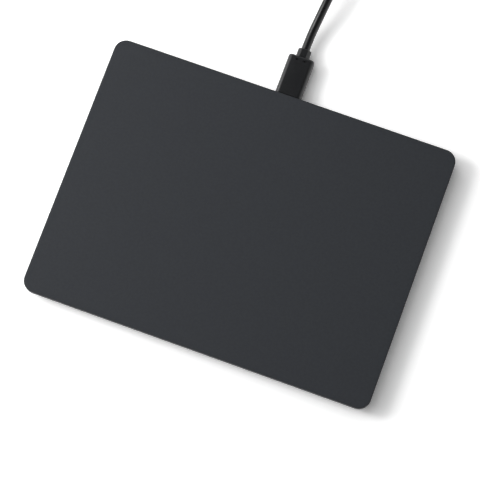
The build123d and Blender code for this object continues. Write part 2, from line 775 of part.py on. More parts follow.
def coil_arcs():
    """The coil's quarter turns, each as its start, its end and its direction at the start.

    The bottom layer spirals in, two quarters climb a layer, and the top layer spirals out.
    """
    quarters = 4 * turns_per_layer
    step = coil_pitch / 4
    place = Vector(coil_x + coil_outer_radius, coil_y, bottom_layer_z)
    outward = Vector(1, 0, 0)
    arcs = []
    for number in range(2 * quarters + 2):
        radius = coil_outer_radius - step * number
        if number >= quarters:
            radius = coil_outer_radius - step * quarters
        if number >= quarters + 2:
            radius = radius + step * (number - quarters - 1)
        along = Vector(-outward.Y, outward.X, 0)
        if number == quarters:
            # The climb meets halfway up, a little outside the circle that it starts and ends on.
            centre = place - outward * radius
            half_rise = Vector(0, 0, coil_layer_rise / 2)
            end = centre + along * sqrt(radius ** 2 + half_rise.length ** 2) + half_rise
            climb_end = centre - outward * radius + half_rise * 2
            arcs.append((place, end, along))
            arcs.append((end, climb_end, half_rise - outward * radius))
            place, outward = climb_end, -outward
        elif number != quarters + 1:
            end = place - outward * radius + along * radius
            arcs.append((place, end, along))
            place, outward = end, along
    return arcs


def along_arc(start, end, tangent):
    """Points along the arc that leaves start along tangent and reaches end."""
    chord = end - start
    forward = tangent.normalized()
    sideways = chord - forward * chord.dot(forward)
    radius = chord.length ** 2 / (2 * sideways.length)
    turn = 2 * atan(sideways.length / chord.dot(forward))
    aside = sideways.normalized()
    angles = [turn * number / points_per_arc for number in range(points_per_arc)]
    return [start + forward * radius * sin(a) + aside * radius * (1 - cos(a)) for a in angles]


def corner_radii(route):
    """The radius that each corner of a route has room for."""
    radii = []
    for before, here, after in zip(route, route[1:], route[2:]):
        first, second = Vector(*here) - Vector(*before), Vector(*after) - Vector(*here)
        half_turn = radians(first.get_angle(second)) / 2
        radii.append(corner_share * min(first.length, second.length) / tan(half_turn))
    return radii


def cord_section(place, direction):
    """The cord's many-sided section, flat side down, across the direction that it runs in."""
    level = Vector(0, 0, 1).cross(direction).normalized()
    with BuildSketch(Plane(place, x_dir=level, z_dir=direction)) as section:
        RegularPolygon(cord_diameter / 2, cord_sides, major_radius=False, rotation=-90 - 180 / cord_sides)
    return section.sketch


def cord_tube(route, name):
    """A free stretch of the cord: straight runs joined by arcs, and a report of its radii."""
    radii = corner_radii(route)
    with BuildPart() as tube:
        with BuildLine() as path:
            FilletPolyline(*route, radius=radii)
        sweep(cord_section(path.line @ 0, path.line % 0))
    length = sum(edge.length for edge in path.edges())
    section = cord_sides * (cord_diameter / 2) ** 2 * tan(pi / cord_sides)
    print(f"{name}: length {length:.1f}, volume share {tube.part.volume / (section * length):.4f}, radii "
          + " ".join(f"{radius:.0f}" for radius in radii))
    tube.part.label = name
    export_step(tube.part, f"parts/{name}.step")
    return length


# Cord: the stretch from the plug to the coil, whose middle points are chosen by hand.
coil_turns = coil_arcs()
coil_start, coil_end = coil_turns[0][0], coil_turns[-1][1]
lead_route = [
    (0, collar_end_y, port_axis_z),
    (0, 90.5, port_axis_z),
    (1.0, 99.5, 6.3),
    (2.2, 110.5, 8.2),
    (3.8, 123.5, 7.6),
    (4.8, 136.5, 4.9),
    (coil_start.X, 150.0, coil_start.Z),
    (coil_start.X, coil_start.Y, coil_start.Z),
]
lead_length = cord_tube(lead_route, "cord_lead")

# Coil: the put-away length, in one tube of two layers.
with BuildPart() as cord_coil:
    with BuildLine() as coil_path:
        for start, end, tangent in coil_turns:
            TangentArc(start, end, tangent=tangent)
    sweep(cord_section(coil_path.line @ 0, coil_path.line % 0))
cord_coil.part.label = "cord_coil"
export_step(cord_coil.part, "parts/cord_coil.step")
coil_length = sum(edge.length for edge in coil_path.edges())

# Tail: from the coil down to the plug at the far end, which lies beside it.
grip_x = coil_end.X - tail_sway
tail_route = [
    (coil_end.X, coil_end.Y, coil_end.Z),
    (coil_end.X, 156.0, coil_end.Z),
    (grip_x, 143.5, grip_axis_z),
    (grip_x, 136.5, grip_axis_z),
]
tail_length = cord_tube(tail_route, "cord_tail")
print(f"cord: coil {coil_length:.1f}, whole length {lead_length + coil_length + tail_length:.1f}")

# The least gap between the coil's turns is measured on points along them, half a turn or more apart.
coil_points = [point for arc in coil_turns for point in along_arc(*arc)]
half_turn_points = 2 * points_per_arc
least = min((a - b).length for number, a in enumerate(coil_points)
            for b in coil_points[number + half_turn_points:])
cord_corner_width = cord_diameter / cos(pi / cord_sides)
print(f"coil: least gap between turns {least - cord_corner_width:.2f}")

# Coil ties: two straps round the bundle of turns, which lies on them.
coil_inner_radius = coil_outer_radius - turns_per_layer * coil_pitch
for name, side in (("coil_tie_front", -1), ("coil_tie_rear", 1)):
    reaches = [side * (end.Y - coil_y) for start, end, tangent in coil_turns]
    reaches = [reach for reach in reaches if reach > coil_inner_radius / 2]
    near = min(reaches) - cord_diameter / 2 - tie_side_gap
    far = max(reaches) + cord_diameter / 2 + tie_side_gap
    inner_top_z = top_layer_z + cord_diameter / 2 + tie_top_gap
    with BuildPart() as coil_tie:
        with BuildSketch(Plane.YZ.offset(coil_x - tie_width / 2)):
            with Locations((coil_y + side * (near + far) / 2, (tie_thickness + inner_top_z) / 2)):
                RectangleRounded(far - near + 2 * tie_thickness, inner_top_z + tie_thickness, tie_corner)
                Rectangle(far - near, inner_top_z - tie_thickness, mode=Mode.SUBTRACT)
        extrude(amount=tie_width)
    coil_tie.part.label = name
    export_step(coil_tie.part, f"parts/{name}.step")

# USB-A plug: a tapered relief, a rounded grip and a steel shell with its tongue and contacts.
relief_front_y = tail_route[-1][1] - relief_length
grip_front_y = relief_front_y - grip_length
shell_tip_y = grip_front_y - usb_a_length
with BuildPart() as usb_a_strain_relief:
    with BuildSketch(across(relief_front_y)) as relief_base:
        with Locations((grip_x, grip_axis_z)):
            Rectangle(relief_base_width, relief_base_height)
        chamfer(relief_base.vertices(), length=relief_corner)
    extrude(amount=-relief_length, taper=relief_taper)
usb_a_strain_relief.part.label = "usb_a_strain_relief"
export_step(usb_a_strain_relief.part, "parts/usb_a_strain_relief.step")

with BuildPart() as usb_a_overmold:
    with BuildSketch(across(relief_front_y)):
        with Locations((grip_x, grip_axis_z)):
            RectangleRounded(grip_width, grip_height, grip_edge)
    extrude(amount=grip_length)
    chamfer(usb_a_overmold.faces().sort_by(Axis.Y)[-1].edges(), length=grip_end_edge)
    with BuildSketch(across(grip_front_y)):
        with Locations((grip_x, grip_axis_z)):
            RectangleRounded(usb_a_width + 2 * moulded_gap, usb_a_height + 2 * moulded_gap,
                             usb_a_corner + moulded_gap)
    extrude(amount=-usb_a_embedded, mode=Mode.SUBTRACT)
usb_a_overmold.part.label = "usb_a_overmold"
export_step(usb_a_overmold.part, "parts/usb_a_overmold.step")

usb_a_inner_width = usb_a_width - 2 * usb_a_wall
usb_a_inner_height = usb_a_height - 2 * usb_a_wall
with BuildPart() as usb_a_shell:
    with BuildSketch(across(shell_tip_y)):
        with Locations((grip_x, grip_axis_z)):
            RectangleRounded(usb_a_width, usb_a_height, usb_a_corner)
            RectangleRounded(usb_a_inner_width, usb_a_inner_height, usb_a_corner - usb_a_wall,
                             mode=Mode.SUBTRACT)
    extrude(amount=-(usb_a_length + usb_a_embedded))
    with BuildSketch(Plane.XY):
        with Locations((grip_x, shell_tip_y + usb_a_window_from_end)):
            with GridLocations(usb_a_window_spacing, 0, 2, 1):
                Rectangle(usb_a_window, usb_a_window)
    extrude(amount=grip_height, mode=Mode.SUBTRACT)
usb_a_shell.part.label = "usb_a_shell"
export_step(usb_a_shell.part, "parts/usb_a_shell.step")

usb_a_tongue_tip_y = shell_tip_y + usb_a_tongue_setback
usb_a_tongue_low_z = grip_axis_z - usb_a_inner_height / 2
usb_a_tongue_high_z = usb_a_tongue_low_z + usb_a_tongue_thickness
usb_a_tongue_end_y = grip_front_y + usb_a_embedded
with BuildPart() as usb_a_tongue:
    block(grip_x, (usb_a_tongue_tip_y + usb_a_tongue_end_y) / 2, usb_a_inner_width - 2 * usb_a_side_gap,
          usb_a_tongue_end_y - usb_a_tongue_tip_y, usb_a_tongue_low_z, usb_a_tongue_high_z)
usb_a_tongue.part.label = "usb_a_tongue"
export_step(usb_a_tongue.part, "parts/usb_a_tongue.step")

with BuildPart() as usb_a_contacts:
    with BuildSketch(Plane.XY.offset(usb_a_tongue_high_z)):
        with Locations((grip_x, usb_a_tongue_tip_y + usb_a_contact_width + usb_a_contact_length / 2)):
            with GridLocations(usb_a_contact_pitch, 0, usb_a_contact_count, 1):
                Rectangle(usb_a_contact_width, usb_a_contact_length)
    extrude(amount=usb_a_contact_proud)
usb_a_contacts.part.label = "usb_a_contacts"
export_step(usb_a_contacts.part, "parts/usb_a_contacts.step")
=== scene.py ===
import math
import bmesh
import bpy
from mathutils import Matrix, Vector


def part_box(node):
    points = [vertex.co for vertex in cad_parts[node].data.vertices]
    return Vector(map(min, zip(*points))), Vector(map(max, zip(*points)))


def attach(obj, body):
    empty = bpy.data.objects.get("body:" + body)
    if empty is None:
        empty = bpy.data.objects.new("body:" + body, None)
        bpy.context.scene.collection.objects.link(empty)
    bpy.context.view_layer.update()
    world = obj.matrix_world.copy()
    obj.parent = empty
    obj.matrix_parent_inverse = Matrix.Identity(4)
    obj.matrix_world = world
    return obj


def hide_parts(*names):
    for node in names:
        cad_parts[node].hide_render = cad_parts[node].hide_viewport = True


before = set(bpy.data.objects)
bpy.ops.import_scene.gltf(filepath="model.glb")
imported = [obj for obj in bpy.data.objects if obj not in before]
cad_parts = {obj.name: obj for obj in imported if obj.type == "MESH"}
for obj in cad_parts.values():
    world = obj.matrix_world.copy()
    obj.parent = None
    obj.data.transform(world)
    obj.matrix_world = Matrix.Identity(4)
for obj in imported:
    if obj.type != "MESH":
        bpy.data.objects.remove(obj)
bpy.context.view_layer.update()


# Camera: the photograph looks down on the pad from its front, a little to its right, through a long
# lens, and the pad lies turned in the picture.
def put_in_scene(name, data):
    """A new object in the scene, at the origin."""
    placed = bpy.data.objects.new(name, data)
    bpy.context.scene.collection.objects.link(placed)
    return placed


sensor_width = 36.0
lens_length = 168.7
view_distance = 0.981
view_azimuth, view_elevation, view_roll = (math.radians(angle) for angle in (28.625, 77.372, -8.656))
view_target = Vector((0.00294, -0.00819, 0.0086))
camera_data = bpy.data.cameras.new("camera")
camera_data.sensor_width = sensor_width
camera_data.lens = lens_length
camera = put_in_scene("camera", camera_data)
view_turn = (Matrix.Rotation(view_azimuth, 4, "Z") @ Matrix.Rotation(math.pi / 2 - view_elevation, 4, "X")
             @ Matrix.Rotation(view_roll, 4, "Z"))
camera.matrix_world = Matrix.Translation(view_target) @ view_turn @ Matrix.Translation((0, 0, view_distance))
bpy.context.scene.camera = camera
bpy.context.scene.view_settings.view_transform = "Standard"


# Light: a soft panel low at the pad's left, one above it that leaves no highlight, and a smaller lamp
# further off that draws the shadow of the plug and the cord.
def soft_panel(name, azimuth, elevation, distance, width, height, power, mirrored=True):
    """A rectangular lamp that faces the pad. Azimuth 0 is at its right, and 90 behind it."""
    turn, rise = math.radians(azimuth), math.radians(elevation)
    towards_lamp = Vector((math.cos(turn) * math.cos(rise), math.sin(turn) * math.cos(rise), math.sin(rise)))
    lamp = bpy.data.lights.new(name, "AREA")
    lamp.shape = "RECTANGLE"
    lamp.size, lamp.size_y = width, height
    lamp.energy = power
    holder = put_in_scene(name, lamp)
    holder.location = towards_lamp * distance
    holder.rotation_mode = "QUATERNION"
    holder.rotation_quaternion = towards_lamp.to_track_quat("Z", "Y")
    holder.visible_glossy = mirrored


soft_panel("left_panel", azimuth=172, elevation=36, distance=0.5, width=0.9, height=0.42, power=1.75)
soft_panel("top_panel", azimuth=167, elevation=70, distance=0.58, width=1.0, height=0.46, power=1.2,
           mirrored=False)
soft_panel("low_lamp", azimuth=184, elevation=37, distance=1.6, width=0.5, height=0.5, power=11.3)


# Room: plain white to the camera. A mirror sees white walls and a dark ceiling, which keeps level faces
# deep in tone, and the room's own light on the pad is weak.
def add_node(tree, kind, sockets=None, **settings):
    """A node whose inputs, by name or number, take values or other nodes' outputs. Gives its outputs."""
    new = tree.nodes.new(kind)
    for label, value in settings.items():
        setattr(new, label, value)
    for label, value in (sockets or {}).items():
        for one in value if isinstance(value, list) else [value]:
            if isinstance(one, bpy.types.NodeSocket):
                tree.links.new(one, new.inputs[label])
            else:
                new.inputs[label].default_value = one
    return new.outputs


def compute(tree, operation, first, second=0.0):
    """One step of arithmetic on numbers or outputs."""
    return add_node(tree, "ShaderNodeMath", {0: first, 1: second}, operation=operation)[0]


def rescale(tree, value, low, high, from_low=0.0, from_high=1.0, **settings):
    """A value brought from one range to another, and kept within it."""
    return add_node(tree, "ShaderNodeMapRange", {
        "Value": value, "From Min": from_low, "From Max": from_high, "To Min": low, "To Max": high},
        **settings)["Result"]


def parts_of(tree, vector):
    """The X, Y and Z of a vector."""
    return add_node(tree, "ShaderNodeSeparateXYZ", {"Vector": vector})


def seen_directly(tree):
    """A value of 1 on rays from the camera, a mirror or a glass, and 0 on the rays that carry light."""
    path = add_node(tree, "ShaderNodeLightPath")
    glossy_or_clear = compute(tree, "MAXIMUM", path["Is Glossy Ray"], path["Is Transmission Ray"])
    return compute(tree, "MAXIMUM", path["Is Camera Ray"], glossy_or_clear)


room_strength = 0.3
wall_strength = 1.0
ceiling_strength = 0.12
wall_top, ceiling_edge = 0.35, 0.8
white = (1.0, 1.0, 1.0, 1.0)
world = bpy.data.worlds.new("room")
world.use_nodes = True
bpy.context.scene.world = world
room_tree = world.node_tree
ray_direction = add_node(room_tree, "ShaderNodeTexCoord")["Generated"]
ray_height = parts_of(room_tree, ray_direction)["Z"]
walls = rescale(room_tree, ray_height, wall_strength, ceiling_strength, wall_top, ceiling_edge)
camera_ray = add_node(room_tree, "ShaderNodeLightPath")["Is Camera Ray"]
backdrop = compute(room_tree, "MAXIMUM", walls, camera_ray)
brightness = rescale(room_tree, seen_directly(room_tree), room_strength, backdrop)
room = room_tree.nodes["Background"]
room.inputs["Color"].default_value = white
room_tree.links.new(brightness, room.inputs["Strength"])


# Floor: a plain white sheet that the pad and its lead lie on. It looks white where the light falls
# freely and far from the pad, and keeps the shadow of what lies on it.
def own_place(tree):
    """The place on a surface, in the coordinates of its own object."""
    return add_node(tree, "ShaderNodeTexCoord")["Object"]


def product(tree, first, second):
    """Two numbers or outputs multiplied."""
    return compute(tree, "MULTIPLY", first, second)


floor_size = 30.0
floor_tone = 0.78
floor_seen_tone = 1.33
shadow_reach, white_reach = 0.22, 0.36
floor_mesh = bpy.data.meshes.new("floor")
floor_corners = [(x * floor_size / 2, y * floor_size / 2, 0)
                 for x, y in ((-1, -1), (1, -1), (1, 1), (-1, 1))]
floor_mesh.from_pydata(floor_corners, [], [(0, 1, 2, 3)])
floor = put_in_scene("floor", floor_mesh)
floor_paper = bpy.data.materials.new("floor_paper")
floor_paper.use_nodes = True
floor_tree = floor_paper.node_tree
floor_tree.nodes.remove(floor_tree.nodes["Principled BSDF"])
paper_tone = rescale(floor_tree, seen_directly(floor_tree), floor_tone, floor_seen_tone)
paper = add_node(floor_tree, "ShaderNodeBsdfDiffuse", {"Color": paper_tone})["BSDF"]
plain_white = add_node(floor_tree, "ShaderNodeEmission")["Emission"]
floor_reach = add_node(floor_tree, "ShaderNodeVectorMath", {0: own_place(floor_tree)}, operation="LENGTH")
far_off = rescale(floor_tree, floor_reach["Value"], 0.0, 1.0, shadow_reach, white_reach,
                  interpolation_type="SMOOTHSTEP")
far_and_seen = product(floor_tree, far_off, seen_directly(floor_tree))
paper_or_white = add_node(floor_tree, "ShaderNodeMixShader", {0: far_and_seen, 1: paper, 2: plain_white})
floor_tree.links.new(paper_or_white["Shader"], floor_tree.nodes["Material Output"].inputs["Surface"])
floor_mesh.materials.append(floor_paper)


# Housing: a ring moulded in dark grey plastic with a fine spark-eroded texture. Its CAD form already has
# the rounded skirt, the ledge, the bosses and the port's land, and takes its finish here.
mm = 0.001


def paint(colour):
    """A colour as a screen shows it, from 0 to 255, made linear for a shader."""
    shares = [value / 255 for value in colour]
    linear = [((share + 0.055) / 1.055) ** 2.4 if share > 0.04 else share / 12.92 for share in shares]
    return (*linear, 1.0)


def start_finish(name, roughness, metallic=0.0, specular=0.5):
    """A new material with its even qualities set on the shader itself."""
    finish = bpy.data.materials.new(name)
    finish.use_nodes = True
    shader = finish.node_tree.nodes["Principled BSDF"]
    shader.inputs["Roughness"].default_value = roughness
    shader.inputs["Metallic"].default_value = metallic
    shader.inputs["Specular IOR Level"].default_value = specular
    return finish


def feed(finish, label, output):
    """An input of the finish's shader follows an output."""
    tree = finish.node_tree
    tree.links.new(output, tree.nodes["Principled BSDF"].inputs[label])


def noise(finish, per_metre, detail=3.0, stretch=(1, 1, 1)):
    """A noise on the piece's own coordinates, with so many grains a metre. Stretch draws it out."""
    tree = finish.node_tree
    place = add_node(tree, "ShaderNodeMapping", {"Vector": own_place(tree), "Scale": stretch})["Vector"]
    return add_node(tree, "ShaderNodeTexNoise", {
        "Vector": place, "Scale": per_metre, "Detail": detail})["Fac"]


def vary_colour(finish, low, high, pattern, span=(0.35, 0.65)):
    """The base colour drifts between two tones, as a screen shows them, with a pattern."""
    tree = finish.node_tree
    ramp = tree.nodes.new("ShaderNodeValToRGB")
    for stop, position, tone in zip(ramp.color_ramp.elements, span, (low, high)):
        stop.position, stop.color = position, paint(tone)
    tree.links.new(pattern, ramp.inputs["Fac"])
    feed(finish, "Base Color", ramp.outputs["Color"])
    return ramp.outputs["Color"]


def vary_roughness(finish, low, high, pattern):
    """The roughness drifts between two values with a pattern."""
    feed(finish, "Roughness", rescale(finish.node_tree, pattern, low, high))


def emboss(finish, pattern, depth):
    """The pattern stands out of the surface by a depth, on top of what is embossed already."""
    relief = {"Height": pattern, "Distance": depth}
    embossed = finish.node_tree.nodes["Principled BSDF"].inputs["Normal"].links
    if embossed:
        relief["Normal"] = embossed[0].from_socket
    feed(finish, "Normal", add_node(finish.node_tree, "ShaderNodeBump", relief)["Normal"])


def moulded_plastic(name, low, high, roughness, grain=6500, grain_depth=0.012 * mm, specular=0.35):
    """Moulded plastic with a fine even texture and a little drift in its tone and its gloss."""
    tone_patches, gloss_patches = 1200, 110
    smoothest, roughest = roughness - 0.05, roughness + 0.07
    plastic = start_finish(name, roughness, specular=specular)
    vary_colour(plastic, low, high, noise(plastic, tone_patches))
    vary_roughness(plastic, smoothest, roughest, noise(plastic, gloss_patches, detail=5))
    emboss(plastic, noise(plastic, grain, detail=2), grain_depth)
    return plastic


def dress(finish, *names):
    """CAD nodes whose shape is right keep it, and take a finish."""
    for name in names:
        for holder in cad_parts[name].material_slots:
            holder.material = finish


housing_plastic = moulded_plastic("housing_plastic", (41, 42, 45), (45, 46, 49), roughness=0.36,
                                  specular=0.5)
dress(housing_plastic, "housing")

# Hinge pins and leaf springs: rolled spring steel, bright where it is rubbed. The pins sit in the
# housing's lugs, and the springs are screwed to its ledge and lift the plate's front edge.
spring_steel = start_finish("spring_steel", roughness=0.3, metallic=1.0)
vary_colour(spring_steel, (156, 156, 152), (170, 170, 165), noise(spring_steel, 4500, stretch=(1, 0.15, 1)))
vary_roughness(spring_steel, 0.22, 0.4, noise(spring_steel, 3000, stretch=(1, 0.1, 1)))
dress(spring_steel, "hinge_pin_left", "hinge_pin_right", "return_spring_left", "return_spring_right")

# Port: a shell drawn in steel with a nickel coat, a moulded ivory tongue inside it, and gold-plated
# contacts let into the tongue. It is soldered to the port board.
nickel = start_finish("nickel_coat", roughness=0.28, metallic=1.0)
vary_colour(nickel, (188, 187, 184), (204, 203, 200), noise(nickel, 1500, stretch=(1, 0.1, 1)))
vary_roughness(nickel, 0.2, 0.36, noise(nickel, 2600, detail=4, stretch=(1, 0.08, 1)))
ivory = moulded_plastic("ivory_plastic", (214, 208, 190), (224, 219, 203), roughness=0.5)
gold = start_finish("gold_plate", roughness=0.26, metallic=1.0)
vary_colour(gold, (226, 184, 98), (240, 202, 124), noise(gold, 4000))
vary_roughness(gold, 0.2, 0.34, noise(gold, 6000))
dress(nickel, "port_shell")
dress(ivory, "port_tongue")
dress(gold, "port_contacts")

# Boards: glass-fibre laminate under a green solder mask, in which bundles of copper tracks and the vias
# show paler. Two are screwed to the housing's ledge, and the sensor board fills the plate.
black = (0.0, 0.0, 0.0, 1.0)
tracks_per_metre = 260.0
vias_per_track = 1.2
via_size_share = 0.13
bundled_share = 0.5
solder_mask = start_finish("solder_mask", roughness=0.34)
mask_tree = solder_mask.node_tree
mask_place = own_place(mask_tree)
tracks = add_node(mask_tree, "ShaderNodeTexBrick", {
    "Vector": mask_place, "Scale": tracks_per_metre, "Mortar Size": 0.028, "Brick Width": 5.2,
    "Row Height": 0.17})["Fac"]
bundles = add_node(mask_tree, "ShaderNodeTexBrick", {
    "Vector": mask_place, "Color1": black, "Color2": white, "Mortar": black, "Scale": tracks_per_metre,
    "Mortar Size": 0.02, "Brick Width": 2.6, "Row Height": 1.19})["Color"]
via_distance = add_node(mask_tree, "ShaderNodeTexVoronoi", {
    "Vector": mask_place, "Scale": vias_per_track * tracks_per_metre, "Randomness": 0.8})["Distance"]
vias = compute(mask_tree, "LESS_THAN", via_distance, via_size_share)
bundled = compute(mask_tree, "GREATER_THAN", bundles, bundled_share)
copper = compute(mask_tree, "MAXIMUM", product(mask_tree, tracks, bundled), vias)
vary_colour(solder_mask, (20, 84, 50), (50, 122, 75), copper, span=(0.3, 0.7))
vary_roughness(solder_mask, 0.28, 0.42, noise(solder_mask, 300, detail=4))
emboss(solder_mask, copper, 0.02 * mm)
dress(solder_mask, "port_board", "switch_board", "sensor_board")


# Chips: black moulded packages with eased edges and a round mark at their first pin. The sensor board
# carries two, soldered to its underside, and the port board one on its top.
merge_distance = 0.001 * mm
sharp_angle = math.radians(35)


def rounded_outline(half_width, half_depth, corner, corner_steps=8):
    """Points round a rectangle with rounded corners, about the origin."""
    points = []
    for quarter, (side_x, side_y) in enumerate(((1, 1), (-1, 1), (-1, -1), (1, -1))):
        for step in range(corner_steps + 1):
            angle = math.pi / 2 * (quarter + step / corner_steps)
            points.append((side_x * (half_width - corner) + corner * math.cos(angle),
                           side_y * (half_depth - corner) + corner * math.sin(angle)))
    return points


def eased_sections(width, depth, corner, low, high, low_ease, high_ease, border, ease_steps=5):
    """Sections of a bar from low to high, as half width, half depth, corner and place along it.

    Both of its ends are rounded over, and a flat border on each end's face keeps its shading flat.
    """
    sections = []
    for end, ease, inwards in ((low, low_ease, 1), (high, high_ease, -1)):
        part = [(ease + border, end)]
        for step in range(ease_steps + 1):
            angle = math.pi / 2 * step / ease_steps
            part.append((ease * (1 - math.sin(angle)), end + inwards * ease * (1 - math.cos(angle))))
        sections += part[::inwards]
    least_corner = 0.05 * mm
    return [(width / 2 - inset, depth / 2 - inset, max(corner - inset, least_corner), along)
            for inset, along in sections]


def stack(form, rings, closed=False):
    """Walls that join rings of points, capped at both ends unless the last ring meets the first."""
    rows = [[form.verts.new(point) for point in ring] for ring in rings]
    neighbours = list(zip(rows, rows[1:]))
    if closed:
        neighbours.append((rows[-1], rows[0]))
    for lower, upper in neighbours:
        for corners in zip(lower, lower[1:] + lower[:1], upper[1:] + upper[:1], upper):
            form.faces.new(corners)
    if not closed:
        form.faces.new(rows[0][::-1])
        form.faces.new(rows[-1])


def stack_along(form, axis, middle, sections, outline=rounded_outline):
    """Walls through sections across an axis, Z or Y, one after the other, capped at both ends."""
    rings = []
    for half_width, half_depth, corner, along in sections:
        points = outline(half_width, half_depth, corner)
        if axis == "Z":
            rings.append([(middle.x + u, middle.y + v, along) for u, v in points])
        else:
            rings.append([(middle.x + u, along, middle.z + v) for u, v in points])
    stack(form, rings)


def measure(node):
    """The box of a CAD node: its low corner, its high corner, its size and its middle."""
    low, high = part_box(node)
    return low, high, high - low, (low + high) / 2


def eased_block(node, axis, corner, low_ease, high_ease, border, outline=rounded_outline):
    """A form that fills a CAD node's box, with rounded corners along an axis and eased ends."""
    low, high, size, middle = measure(node)
    depth, start, end = (size.y, low.z, high.z) if axis == "Z" else (size.z, low.y, high.y)
    form = bmesh.new()
    stack_along(form, axis, middle,
                eased_sections(size.x, depth, corner, start, end, low_ease, high_ease, border), outline)
    return form


def make_piece(name, form, finish):
    """The object of a form: doubles merged, faces outwards, smooth but for its sharp edges."""
    bmesh.ops.remove_doubles(form, verts=form.verts, dist=merge_distance)
    bmesh.ops.recalc_face_normals(form, faces=form.faces)
    mesh = bpy.data.meshes.new(name)
    form.to_mesh(mesh)
    form.free()
    mesh.shade_smooth()
    mesh.set_sharp_from_angle(angle=sharp_angle)
    mesh.materials.append(finish)
    return put_in_scene(name, mesh)


def keep_result(piece, modifier):
    """What a modifier makes of a piece becomes its own plain mesh, and the modifier goes."""
    bpy.context.view_layer.update()
    evaluated = piece.evaluated_get(bpy.context.evaluated_depsgraph_get())
    result = bpy.data.meshes.new_from_object(evaluated)
    piece.modifiers.remove(modifier)
    piece.data = result
    result.name = piece.name
    result.shade_smooth()
    result.set_sharp_from_angle(angle=sharp_angle)


def cut_away(piece, cutter_form):
    """A form is cut out of a piece, and the piece is left a plain mesh."""
    cutter = make_piece("cutter", cutter_form, piece.data.materials[0])
    cutting = piece.modifiers.new("cutting", "BOOLEAN")
    cutting.operation = "DIFFERENCE"
    cutting.solver = "EXACT"
    cutting.object = cutter
    keep_result(piece, cutting)
    bpy.data.objects.remove(cutter)


def drill(piece, places, radius, depth):
    """Round pits of one depth are cut in the level face that their places lie on."""
    form = bmesh.new()
    for place in places:
        ends = [(radius, radius, radius, place.z + reach) for reach in (-depth, depth)]
        stack_along(form, "Z", place, ends)
    cut_away(piece, form)


chip_corner = 0.12 * mm
chip_ease = 0.07 * mm
chip_border = 0.2 * mm
first_pin_depth = 0.06 * mm
mark_radius_share, mark_inset_share = 0.055, 0.16
package = moulded_plastic("chip_package", (27, 27, 29), (35, 35, 37), roughness=0.62, grain=9000)
for chip_name, chip_body, face_up in (
        ("touch_controller", "touch_plate", False), ("microcontroller", "touch_plate", False),
        ("port_chip", "base", True)):
    eases = (0, chip_ease) if face_up else (chip_ease, 0)
    chip_form = eased_block(chip_name, "Z", chip_corner, *eases, chip_border)
    chip = make_piece(f"{chip_name}_package", chip_form, package)
    chip_low, chip_high, chip_size, _ = measure(chip_name)
    mark_inset = chip_size.x * mark_inset_share
    mark_z = chip_high.z if face_up else chip_low.z
    mark_place = Vector((chip_low.x + mark_inset, chip_high.y - mark_inset, mark_z))
    drill(chip, [mark_place], chip_size.x * mark_radius_share, first_pin_depth)
    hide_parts(chip_name)
    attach(chip, chip_body)


# Capacitors: three rows of six surface-mounted ones, soldered under the sensor board. Each is a block of
# ceramic between two tinned ends, which stand a little proud of it.
def start_tree(name, sizes):
    """A Geometry Nodes tree with an input for each named size, and its two ends."""
    tree = bpy.data.node_groups.new(name, "GeometryNodeTree")
    tree.interface.new_socket("Geometry", in_out="INPUT", socket_type="NodeSocketGeometry")
    for label in sizes:
        tree.interface.new_socket(label, in_out="INPUT", socket_type="NodeSocketFloat")
    tree.interface.new_socket("Geometry", in_out="OUTPUT", socket_type="NodeSocketGeometry")
    return tree, tree.nodes.new("NodeGroupInput").outputs, tree.nodes.new("NodeGroupOutput").inputs


def vector_of(tree, x=0.0, y=0.0, z=0.0):
    """Three numbers or outputs as one vector."""
    return add_node(tree, "ShaderNodeCombineXYZ", {"X": x, "Y": y, "Z": z})[0]


def block(tree, *sides):
    """A block about the origin, from its three sides."""
    return add_node(tree, "GeometryNodeMeshCube", {"Size": vector_of(tree, *sides)})["Mesh"]


def move(tree, geometry, place=(0.0, 0.0, 0.0), turn=(0.0, 0.0, 0.0), scale=(1.0, 1.0, 1.0)):
    """Geometry scaled, turned and moved."""
    return add_node(tree, "GeometryNodeTransform", {
        "Geometry": geometry, "Translation": place, "Rotation": turn, "Scale": scale})[0]


def join(tree, *solids):
    """Closed solids joined in one."""
    return add_node(tree, "GeometryNodeMeshBoolean", {1: list(solids)}, operation="UNION")["Mesh"]


def repeat(tree, points, piece, scale=(1.0, 1.0, 1.0)):
    """The piece at each of the points, as real geometry."""
    row = add_node(tree, "GeometryNodeInstanceOnPoints", {
        "Points": points, "Instance": piece, "Scale": scale})[0]
    return add_node(tree, "GeometryNodeRealizeInstances", {"Geometry": row})[0]


def finish_tree(tree, geometry, finish, outlet):
    """Instances are made real and take their material, which ends every tree."""
    real = add_node(tree, "GeometryNodeRealizeInstances", {"Geometry": geometry})[0]
    painted = add_node(tree, "GeometryNodeSetMaterial", {"Geometry": real, "Material": finish})[0]
    tree.links.new(painted, outlet["Geometry"])
    return tree


def grow(name, tree, sizes, start_mesh):
    """The object that a tree grows from a mesh, as a plain mesh of its own."""
    piece = put_in_scene(name, start_mesh)
    growth = piece.modifiers.new("growth", "NODES")
    growth.node_group = tree
    for socket in tree.interface.items_tree:
        if socket.name in sizes:
            growth[socket.identifier] = sizes[socket.name]
    keep_result(piece, growth)
    return piece


def place_marks(places):
    """A mesh of bare vertices, on which a tree puts its pieces."""
    marks = bpy.data.meshes.new("marks")
    marks.from_pydata(places, [], [])
    return marks


